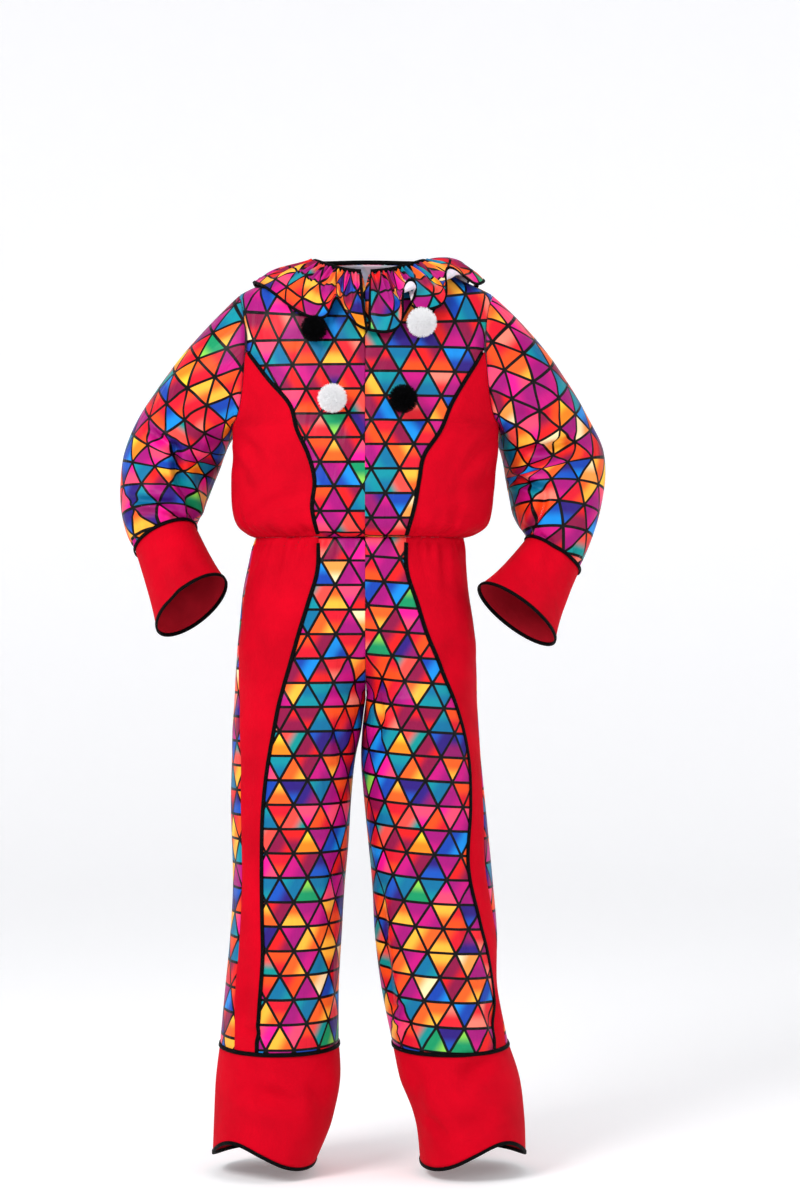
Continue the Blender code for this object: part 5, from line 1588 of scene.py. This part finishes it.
def worn_surface() -> BVHTree:
    """The smooth outside of the bodice and the tops of the sleeves, to measure distances from."""
    corners, faces = [], []
    skins = [(TRUNK_SKIN, np.linspace(ARMPIT, NECK, 49), 1)]
    skins += [
        (
            Skin(sleeve_loop(side, armhole_edge(side)), last=CUFF_SEAM, outwards=-1),
            np.linspace(0, 4, 17), side.value,
        )
        for side in Side
    ]
    turns = np.linspace(0, 1, 161)
    for skin, rows, flip in skins:
        start, wide = len(corners), len(turns)
        way = np.array([flip, 1.0, 1.0])
        for t in rows:
            corners += [Vector(point) for point in skin.point(float(t), turns) * way]
        middle = skin.normal(float(rows[len(rows) // 2]), turns[40:41])[0] * way
        for r in range(len(rows) - 1):
            for c in range(wide - 1):
                a = start + r * wide + c
                faces.append((a, a + 1, a + wide + 1, a + wide))
        a, b, _, d = (corners[i] for i in faces[-(wide - 1) * (len(rows) // 2) + 40])
        if (b - a).cross(d - a).dot(Vector(middle)) < 0:
            count = (wide - 1) * (len(rows) - 1)
            faces[-count:] = [face[::-1] for face in faces[-count:]]
    return BVHTree.FromPolygons(corners, faces)


@dataclass
class CollarRuffle:
    """The ruffle: gathered finely under the neck binding, in loose folds, with tape round its free edge."""

    suit: Suit
    back_waves: int = 9
    back_half: tuple[float, float] = (0.190, 0.166)
    back_z: tuple[float, float] = (0.008, -0.046)
    wave_height: float = 0.012
    wave_sway: float = 0.012
    back_bulge: tuple[float, float] = (0.014, 0.042)
    right_rise: float = 0.012
    sewn_out: float = 0.0040
    sewn_up: float = 0.0012
    columns: int = 620
    rows: int = 30
    pleats: int = 74
    pleat_depth: float = 0.0046
    depth: float = 0.105
    clear: float = 0.0035
    ease: int = 9

    def back_edge(self) -> list[EdgePoint]:
        """The edge over the back, in even waves from the left shoulder to the right one."""
        points = []
        steps = self.back_waves * 6
        random = np.random.default_rng(41)
        tall = random.uniform(0.65, 1.2, self.back_waves + 2)
        for k in range(2, steps - 1):
            share = k / steps
            angle = np.pi / 2 + np.pi * share
            wave = 2 * np.pi * share * self.back_waves
            size = tall[int(share * self.back_waves)] * smooth_step(min(share, 1 - share) / 0.10)
            across, ahead = np.sin(angle), np.cos(angle)
            reach = self.wave_sway * size * np.sin(2 * wave) * 0.5
            x = self.back_half[0] * across + reach * ahead
            y = -self.back_half[1] * ahead + reach * across
            z = self.back_z[0] + (self.back_z[1] - self.back_z[0]) * abs(ahead) ** 3
            rise = self.wave_height * size * np.cos(wave)
            up = self.back_bulge[1] + (self.right_rise - self.back_bulge[1]) * smooth_step(share * 1.6 - 0.6)
            points.append(EdgePoint(0.25 + 0.5 * share, x, y, z + rise, self.back_bulge[0] + rise * 0.8, up))
        return points

    def lay(self) -> Cloth:
        """The ruffle's folds and its fine pleats."""
        table = (*RUFFLE_FRONT_LEFT, *self.back_edge(), *RUFFLE_FRONT_RIGHT)
        spots = np.array([along_table(table, t) for t in np.linspace(0, len(table) - 1, 6 * len(table))])
        run = run_along(spots[:, 1:4])
        even = np.linspace(0, run[-1], self.columns + 1)
        spots = np.stack([np.interp(even, run, spots[:, k]) for k in range(spots.shape[1])], axis=1)
        turn, free, out, up = spots[:, 0], spots[:, 1:4], spots[:, 4:5], spots[:, 5:6]
        neck = TRUNK_SKIN.point(NECK, turn)
        away = unit((neck - neck.mean(axis=0)) * np.array([1.0, 1.0, 0.0]))
        rise = np.array([0.0, 0.0, 1.0])
        sewn = neck + away * self.sewn_out + rise * self.sewn_up
        middle = (sewn + free) / 2 + away * out + rise * up
        pleat = 2 * np.pi * self.pleats * (
            turn + 0.0016 * np.sin(turn * 130.0) + 0.0010 * np.sin(turn * 311.0)
        )
        ripple = np.sin(even * 2 * np.pi / 0.046 + 1.3 * np.sin(even * 31.0))
        grid, places = [], []
        for share in np.linspace(0, 1, self.rows + 1):
            grid.append(sewn * (1 - share) ** 2 + middle * 2 * share * (1 - share) + free * share**2)
            places.append(np.stack([even, np.full_like(even, -self.depth * share)], axis=-1))
        points = np.array(grid)
        down, across = np.gradient(points, axis=0), np.gradient(points, axis=1)
        out_of = unit(np.cross(down, across))
        shares = np.linspace(0, 1, self.rows + 1)[:, None]
        uneven = 0.75 + 0.35 * np.sin(turn * 173.0 + 1.0) * np.sin(turn * 61.0)
        fine = self.pleat_depth * np.exp(-((shares / 0.42) ** 2)) * np.sin(pleat) * uneven
        loose = 0.0024 * np.sin(np.pi * np.clip(shares * 1.15, 0, 1)) * ripple
        points = points + out_of * (fine + loose)[..., None]
        return Cloth(self.laid_on_bodice(points), out_of, np.array(places))

    def laid_on_bodice(self, points: Array) -> Array:
        """The ruffle's points moved out where they would pass into the bodice or a sleeve."""
        tree = worn_surface()
        for last in (False, False, False, True):
            push = np.zeros_like(points)
            for place in np.ndindex(points.shape[:2]):
                near, normal, _, _ = tree.find_nearest(Vector(points[place]))
                short = self.clear - (Vector(points[place]) - near).dot(normal)
                if short > 0:
                    push[place] = np.array(normal) * short
            if not last:
                push = eased(eased(push, self.ease, 1), self.ease // 2, 0)
            push[0] = 0.0
            points = points + push
        return points

    def build(self) -> None:
        """Builds the ruffle, the tape round its free edge and the neck's binding."""
        cloth = self.lay()
        self.suit.sew(cloth, "collar_ruffle", Slot.SATIN, "gathered", ["neck_binding_tape"])
        points, out = cloth.points, cloth.surface_normals()
        path = np.concatenate([points[1:-1, 0], points[-1], points[-2:0:-1, -1]])
        normals = np.concatenate([out[1:-1, 0], out[-1], out[-2:0:-1, -1]])
        across = np.concatenate(
            [
                points[1:-1, 0] - points[1:-1, 1], points[-1] - points[-2],
                points[-2:0:-1, -1] - points[-2:0:-1, -2],
            ]
        )
        piece = ribbon(
            "collar_edge_binding_tape", path, unit(across), normals, (-0.0040, 0.0012), (-0.0022, 0.0013),
            self.suit.finishes.tape,
        )
        self.suit.wear(piece, "collar_edge_binding", Slot.TAPE)
        self.suit.note_seam("collar", path, unit(across), normals, -0.0030, 0.0013)
        turns = TRUNK_SKIN.spaced(NECK, 0.012, 0.988, 200)
        path, out = TRUNK_SKIN.point(NECK, turns), TRUNK_SKIN.normal(NECK, turns)
        level = unit(out * np.array([1.0, 1.0, 0.0]))
        up = np.tile(np.array([0.0, 0.0, 1.0]), (len(turns), 1))
        piece = ribbon(
            "neck_binding_tape", path, level, up, (-0.0018, 0.0050), (0.0004, 0.0078), self.suit.finishes.tape
        )
        self.suit.wear(piece, "neck_binding", Slot.TAPE)
        self.suit.note_seam("collar", path, level, up, 0.0050, 0.0022)


class Pompom(NamedTuple):
    """A pompom on the chest, at a place as seen from the front."""

    name: str
    slot: Slot
    seed: int
    diameter: float


POMPOMS = (
    Pompom("pompom_upper_right", Slot.BLACK_YARN, 3, 0.0450),
    Pompom("pompom_upper_left", Slot.WHITE_YARN, 5, 0.0500),
    Pompom("pompom_lower_right", Slot.WHITE_YARN, 7, 0.0485),
    Pompom("pompom_lower_left", Slot.BLACK_YARN, 9, 0.0485),
)


class Grower:
    """A Geometry Nodes tree with named inputs, and a way to run it on an object."""

    def __init__(self, name: str, output: str, inputs: dict[str, str]) -> None:
        """Makes the tree and its sockets; inputs gives each one's kind."""
        self.tree = bpy.data.node_groups.new(name, "GeometryNodeTree")
        sides = self.tree.interface
        self.sockets = {
            label: sides.new_socket(label, in_out="INPUT", socket_type="NodeSocket" + kind).identifier
            for label, kind in inputs.items()
        }
        sides.new_socket(output, in_out="OUTPUT", socket_type="NodeSocketGeometry")
        self.given = self.add("NodeGroupInput").outputs

    def add(self, kind: str, settings: dict | None = None, inputs: dict | None = None) -> bpy.types.Node:
        """Adds a node to the tree."""
        return add_node(self.tree, kind, settings, inputs)

    def turned(self, rotation: bpy.types.NodeSocket, angles: bpy.types.NodeSocket) -> bpy.types.NodeSocket:
        """A rotation turned by angles about its own axes."""
        by = self.add("FunctionNodeEulerToRotation", None, {0: angles}).outputs[0]
        inputs = {"Rotation": rotation, "Rotate By": by}
        return self.add("FunctionNodeRotateRotation", {"rotation_space": "LOCAL"}, inputs).outputs[0]

    def copied(self, points, shape, rotation, size) -> bpy.types.NodeSocket:
        """Copies of a shape on points."""
        inputs = {"Points": points, "Instance": shape, "Rotation": rotation, "Scale": size}
        return self.add("GeometryNodeInstanceOnPoints", None, inputs).outputs[0]

    def give(self, geometry: bpy.types.NodeSocket, finish: bpy.types.NodeSocket) -> None:
        """Realizes the copies, sets their finish and gives them out."""
        real = self.add("GeometryNodeRealizeInstances", None, {0: geometry}).outputs[0]
        done = self.add("GeometryNodeSetMaterial", None, {"Geometry": real, "Material": finish}).outputs[0]
        self.add("NodeGroupOutput", None, {0: done})

    def run(self, source: bpy.types.Object, name: str, values: dict) -> bpy.types.Object:
        """A plain mesh of what the tree makes of an object with these values."""
        modifier = source.modifiers.new("grown", "NODES")
        modifier.node_group = self.tree
        for label, value in values.items():
            modifier[self.sockets[label]] = value
        return plain_mesh(source, name)


class Strands(Grower):
    """Strands of yarn of their own length and lean that stand out of a core."""

    def __init__(self) -> None:
        """Makes the tree."""
        super().__init__("yarn_strands", "Pompom", {
            "Core": "Geometry", "Density": "Float", "Strand Length": "Float", "Strand Thickness": "Float",
            "Seed": "Int", "Yarn": "Material",
        })
        tree, given = self.tree, self.given
        scatter = {"Mesh": given["Core"], "Density": given["Density"], "Seed": given["Seed"]}
        spread = self.add(
            "GeometryNodeDistributePointsOnFaces", {"distribute_method": "RANDOM"}, scatter
        ).outputs
        bend = {"Start": (0.0, 0.0, -0.15), "Middle": (0.10, 0.0, 0.45), "End": (-0.16, 0.05, 1.0)}
        line = self.add("GeometryNodeCurveQuadraticBezier", None, {"Resolution": 3, **bend}).outputs[0]
        along = self.add("GeometryNodeSplineParameter").outputs["Factor"]
        ratio = maths(tree, "DIVIDE", given["Strand Thickness"], given["Strand Length"])
        thick = maths(tree, "MULTIPLY", fitted(tree, along, start=1.0, end=0.35), ratio)
        ring = self.add("GeometryNodeCurvePrimitiveCircle", None, {"Resolution": 3, "Radius": 0.5}).outputs[0]
        swept = {"Curve": line, "Profile Curve": ring, "Scale": thick, "Fill Caps": True}
        bar = self.add("GeometryNodeCurveToMesh", None, swept).outputs[0]
        range_of = {"Min": (-0.35, -0.35, -3.14), "Max": (0.35, 0.35, 3.14), "Seed": given["Seed"]}
        lean = self.add("FunctionNodeRandomValue", {"data_type": "FLOAT_VECTOR"}, range_of).outputs[0]
        turn = self.turned(spread["Rotation"], lean)
        range_of = {2: 0.84, 3: 1.08, "Seed": given["Seed"]}
        length = self.add("FunctionNodeRandomValue", {"data_type": "FLOAT"}, range_of).outputs[1]
        size = maths(tree, "MULTIPLY", length, given["Strand Length"])
        whole = self.add("GeometryNodeJoinGeometry").inputs[0]
        tree.links.new(self.copied(spread["Points"], bar, turn, size), whole)
        tree.links.new(given["Core"], whole)
        self.give(whole.node.outputs[0], given["Yarn"])


@dataclass
class Pompoms:
    """Balls of yarn on the chest."""

    suit: Suit
    core_share: float = 0.60
    thickness: float = 0.00095
    density: float = 0.95e6

    def build(self) -> None:
        """Grows each pompom on a core in the middle of its node."""
        strands = Strands()
        finishes = self.suit.finishes
        for row in POMPOMS:
            low, high = (np.array(corner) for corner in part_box(row.name))
            yarn = finishes.white_yarn if row.slot is Slot.WHITE_YARN else finishes.black_yarn
            radius = row.diameter / 2
            core = sphere_object(row.name + "_core", (low + high) / 2, radius * self.core_share, 20, yarn)
            ball = strands.run(core, row.name + "_yarn", {
                "Density": self.density, "Strand Length": radius * (1 - self.core_share),
                "Strand Thickness": self.thickness, "Seed": row.seed, "Yarn": yarn,
            })
            self.suit.wear(ball, row.name, row.slot)


def sphere_object(
    name: str, centre: Array, radius: float, rings: int, finish: bpy.types.Material
) -> bpy.types.Object:
    """A ball with its place in its mesh."""
    bpy.ops.mesh.primitive_uv_sphere_add(segments=2 * rings, ring_count=rings, radius=radius)
    made = bpy.context.active_object
    made.name = made.data.name = name
    points = np.array([vertex.co for vertex in made.data.vertices]) + centre
    made.data.vertices.foreach_set("co", points.ravel())
    made.data.materials.append(finish)
    made.data.shade_smooth()
    return made


def plain_mesh(source: bpy.types.Object, name: str) -> bpy.types.Object:
    """A plain mesh object of what an object's modifiers make, in the object's place."""
    graph = bpy.context.evaluated_depsgraph_get()
    mesh = bpy.data.meshes.new_from_object(source.evaluated_get(graph), depsgraph=graph)
    mesh.name = name
    made = placed(name, mesh)
    source.modifiers.clear()
    bpy.data.objects.remove(source, do_unlink=True)
    return made


class RowOfCopies(Grower):
    """Small rounded bars at even steps along lines."""

    def __init__(self, name: str) -> None:
        """Makes the tree."""
        super().__init__(name, "Row", {
            "Line": "Geometry", "Step": "Float", "Length": "Float", "Thickness": "Float", "Turn": "Float",
            "Finish": "Material",
        })
        given = self.given
        line = self.add("GeometryNodeMeshToCurve", None, {"Mesh": given["Line"]}).outputs[0]
        steps = {"Curve": line, "Length": given["Step"]}
        spots = self.add("GeometryNodeCurveToPoints", {"mode": "LENGTH"}, steps).outputs
        ball = {"Segments": 4, "Rings": 3, "Radius": 0.5}
        bar = self.add("GeometryNodeMeshUVSphere", None, ball).outputs["Mesh"]
        angles = self.add("ShaderNodeCombineXYZ", None, {1: given["Turn"]}).outputs[0]
        sides = {0: given["Thickness"], 1: given["Thickness"], 2: given["Length"]}
        size = self.add("ShaderNodeCombineXYZ", None, sides).outputs[0]
        turn = self.turned(spots["Rotation"], angles)
        self.give(self.copied(spots["Points"], bar, turn, size), given["Finish"])

    def lay(
        self, name: str, lines: Sequence[Array], step: float, length: float, thickness: float,
        finish: bpy.types.Material, turn: float = 0.0,
    ) -> bpy.types.Object:
        """A plain mesh of copies along the lines; each is turned from the line's way by an angle."""
        edges, start = [], 0
        for line in lines:
            edges += [(start + k, start + k + 1) for k in range(len(line) - 1)]
            start += len(line)
        mesh = bpy.data.meshes.new(name + "_line")
        mesh.from_pydata(np.concatenate(lines).tolist(), edges, [])
        values = {"Step": step, "Length": length, "Thickness": thickness, "Turn": turn, "Finish": finish}
        return self.run(placed(name + "_line", mesh), name, values)


@dataclass
class Sewing:
    """The machine stitches along the tapes: short bars of thread, sunk a little between them."""

    suit: Suit
    step: float = 0.0032
    length: float = 0.0024
    thickness: float = 0.00055

    def build(self) -> None:
        """Lays a row of stitches for each group of noted lines."""
        row = RowOfCopies("stitches")
        for name, lines in self.suit.seams.items():
            size = (self.step, self.length, self.thickness)
            self.suit.add(row.lay(name + "_stitching", lines, *size, self.suit.finishes.thread), Slot.TAPE)


@dataclass
class Zip:
    """The concealed zip: two tape halves that meet behind the centre front, a coil on each, and a slider.

    The zip is drawn closed, with its slider at the top, under the slit.
    """

    suit: Suit
    tape: float = 0.0125
    gap: float = 0.0016
    thickness: float = 0.0007
    behind: float = 0.0042
    tooth_step: float = 0.0018
    tooth: tuple[float, float] = (0.0042, 0.0011)
    top: float = NECK - 2.4
    foot: float = 3.0

    def path(self) -> tuple[Array, Array]:
        """The zip's middle line from the slit to below the waist, and the way out of the cloth."""
        legs = leg_loop(Side.LEFT)
        upper = [trunk_loop(float(t), np.zeros(1))[0] for t in np.linspace(self.top, WAIST, 90)]
        lower = [legs(float(t), np.zeros(1))[0] for t in np.linspace(0.2, self.foot, 14)]
        points = np.array(upper + lower)
        down = unit(np.gradient(points, axis=0))
        out = np.stack([np.zeros(len(points)), down[:, 2], -down[:, 1]], axis=-1)
        return points - out * self.behind, out

    def build(self) -> None:
        """Builds the tape halves, the coils, the slider and its pull tab."""
        path, out = self.path()
        across = np.tile(np.array([1.0, 0.0, 0.0]), (len(path), 1))
        finishes = self.suit.finishes
        for side in Side:
            near, far = sorted((side.value * self.gap / 2, side.value * self.tape))
            name, height = f"zip_tape_{side.word}", (-self.thickness, 0.0)
            half = ribbon(name, path, across, out, (near, far), height, finishes.zip_tape)
            self.suit.wear(half, "zip_tape", Slot.ZIP)
        row = RowOfCopies("zip_coil")
        lines = [path + across * side.value * 0.0012 + out * 0.0006 for side in Side]
        lean = np.pi / 2 - 0.35
        coil = row.lay("zip_coil", lines, self.tooth_step, *self.tooth, finishes.coil, turn=lean)
        self.suit.add(coil, Slot.ZIP)
        place, way = path[3], out[3]
        down = unit(path[8] - path[3])
        self.suit.add(self.block("zip_slider", place, down, way, (0.0070, 0.0090, 0.0030)), Slot.ZIP)
        tab = place + down * 0.0130 + way * 0.0016
        self.suit.add(self.block("zip_pull_tab", tab, down, way, (0.0050, 0.0160, 0.0010)), Slot.ZIP)

    def block(self, name: str, centre: Array, down: Array, out: Array, size: tuple[float, float, float]):
        """A small block with rounded ends, in the coil's finish: size is its width, length and thickness."""
        angle = np.linspace(0, 2 * np.pi, 24, endpoint=False)
        ring = [power(way(angle), 0.6) * side / 2 for way, side in zip((np.cos, np.sin), size)]
        ring = np.stack(ring, axis=1)
        across = np.cross(down, out)
        points = [
            centre + across * x * grow + down * y * grow + out * lift * size[2] / 2
            for lift, grow in ((-1.0, 0.88), (-0.6, 1.0), (0.6, 1.0), (1.0, 0.88))
            for x, y in ring
        ]
        wide = len(ring)
        faces = [
            [r * wide + c, r * wide + (c + 1) % wide, (r + 1) * wide + (c + 1) % wide, (r + 1) * wide + c]
            for r in range(3) for c in range(wide)
        ]
        faces += [list(range(wide))[::-1], list(range(3 * wide, 4 * wide))]
        made = mesh_object(name, np.array(points), faces, [self.suit.finishes.coil])
        face_outwards(made)
        return made


@dataclass
class Studio:
    """A pale floor that curves up all round, soft lights, and the camera."""

    floor_z: float = -1.478
    camera_back: float = 5.0
    frame_height: float = 2.0
    centre: tuple[float, float] = (0.0567, -0.525)

    def build(self) -> None:
        """Builds the stage, the lights and the camera."""
        bpy.context.scene.view_settings.view_transform = "Standard"
        self.stage()
        self.light("key", (-2.3, -3.0, 1.9), 1.7, 128.0)
        self.light("fill", (2.6, -3.0, 0.2), 3.0, 32.0)
        self.light("top", (0.3, -0.4, 2.6), 2.2, 26.0)
        world = bpy.data.worlds.new("studio")
        bpy.context.scene.world = world
        world.use_nodes = True
        sky = world.node_tree.nodes["Background"]
        sky.inputs["Color"].default_value = linear("F6F7FA")
        sky.inputs["Strength"].default_value = 0.46
        data = bpy.data.cameras.new("camera")
        data.sensor_fit = "VERTICAL"
        data.sensor_height = 24.0
        data.lens = 24.0 * self.camera_back / self.frame_height
        camera = placed("camera", data)
        camera.location = (self.centre[0], -self.camera_back, self.centre[1])
        camera.rotation_euler = (np.pi / 2, 0.0, 0.0)
        bpy.context.scene.camera = camera

    def stage(self) -> None:
        """The floor and the round wall, in one curve."""
        made, tree, shader = new_material("studio_paper")
        feed(tree, shader, {
            "Base Color": linear("FCFCFD"), "Emission Color": linear("FFFFFF"), "Emission Strength": 0.15,
            "Roughness": 0.9,
        })
        radius, bend, tall, around = 7.5, 1.5, 6.0, 64
        arc = np.linspace(0, np.pi / 2, 12)
        line = [(0.0005, 0.0)] + [(radius - bend + bend * np.sin(a), bend * (1 - np.cos(a))) for a in arc]
        line.append((radius, tall))
        angles = np.arange(around) * 2 * np.pi / around
        points = np.array([(r * np.cos(a), r * np.sin(a), self.floor_z + z) for r, z in line for a in angles])
        spots = [(k * around, i, (i + 1) % around) for k in range(len(line) - 1) for i in range(around)]
        faces = [(row + i, row + j, row + around + j, row + around + i) for row, i, j in spots]
        floor = mesh_object("studio_floor", points, faces, [made])

    def light(self, name: str, place: tuple[float, float, float], size: float, watts: float) -> None:
        """A square soft light aimed at the middle of the suit."""
        data = bpy.data.lights.new(name, "AREA")
        data.size, data.energy = size, watts
        lamp = placed(name, data)
        aim = np.array([self.centre[0], 0.0, self.centre[1]]) - np.array(place)
        flat = float(np.hypot(aim[0], aim[1]))
        lamp.location = place
        lamp.rotation_euler = (np.arctan2(flat, -aim[2]), 0.0, np.arctan2(-aim[0], aim[1]))


def main() -> None:
    """Dresses the frame, sub-assembly by sub-assembly."""
    logging.basicConfig(level=logging.INFO, format="%(name)s: %(message)s")
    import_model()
    suit = Suit(Finishes())
    CollarRuffle(suit).build()
    Bodice(suit).build()
    Trousers(suit).build()
    for side in Side:
        Arm(suit, side).build()
        Hem(suit, side).build()
    Pompoms(suit).build()
    Zip(suit).build()
    Sewing(suit).build()
    Studio().build()
    LOG.info("%d pieces made", len(suit.made))


if __name__ == "__main__":
    main()
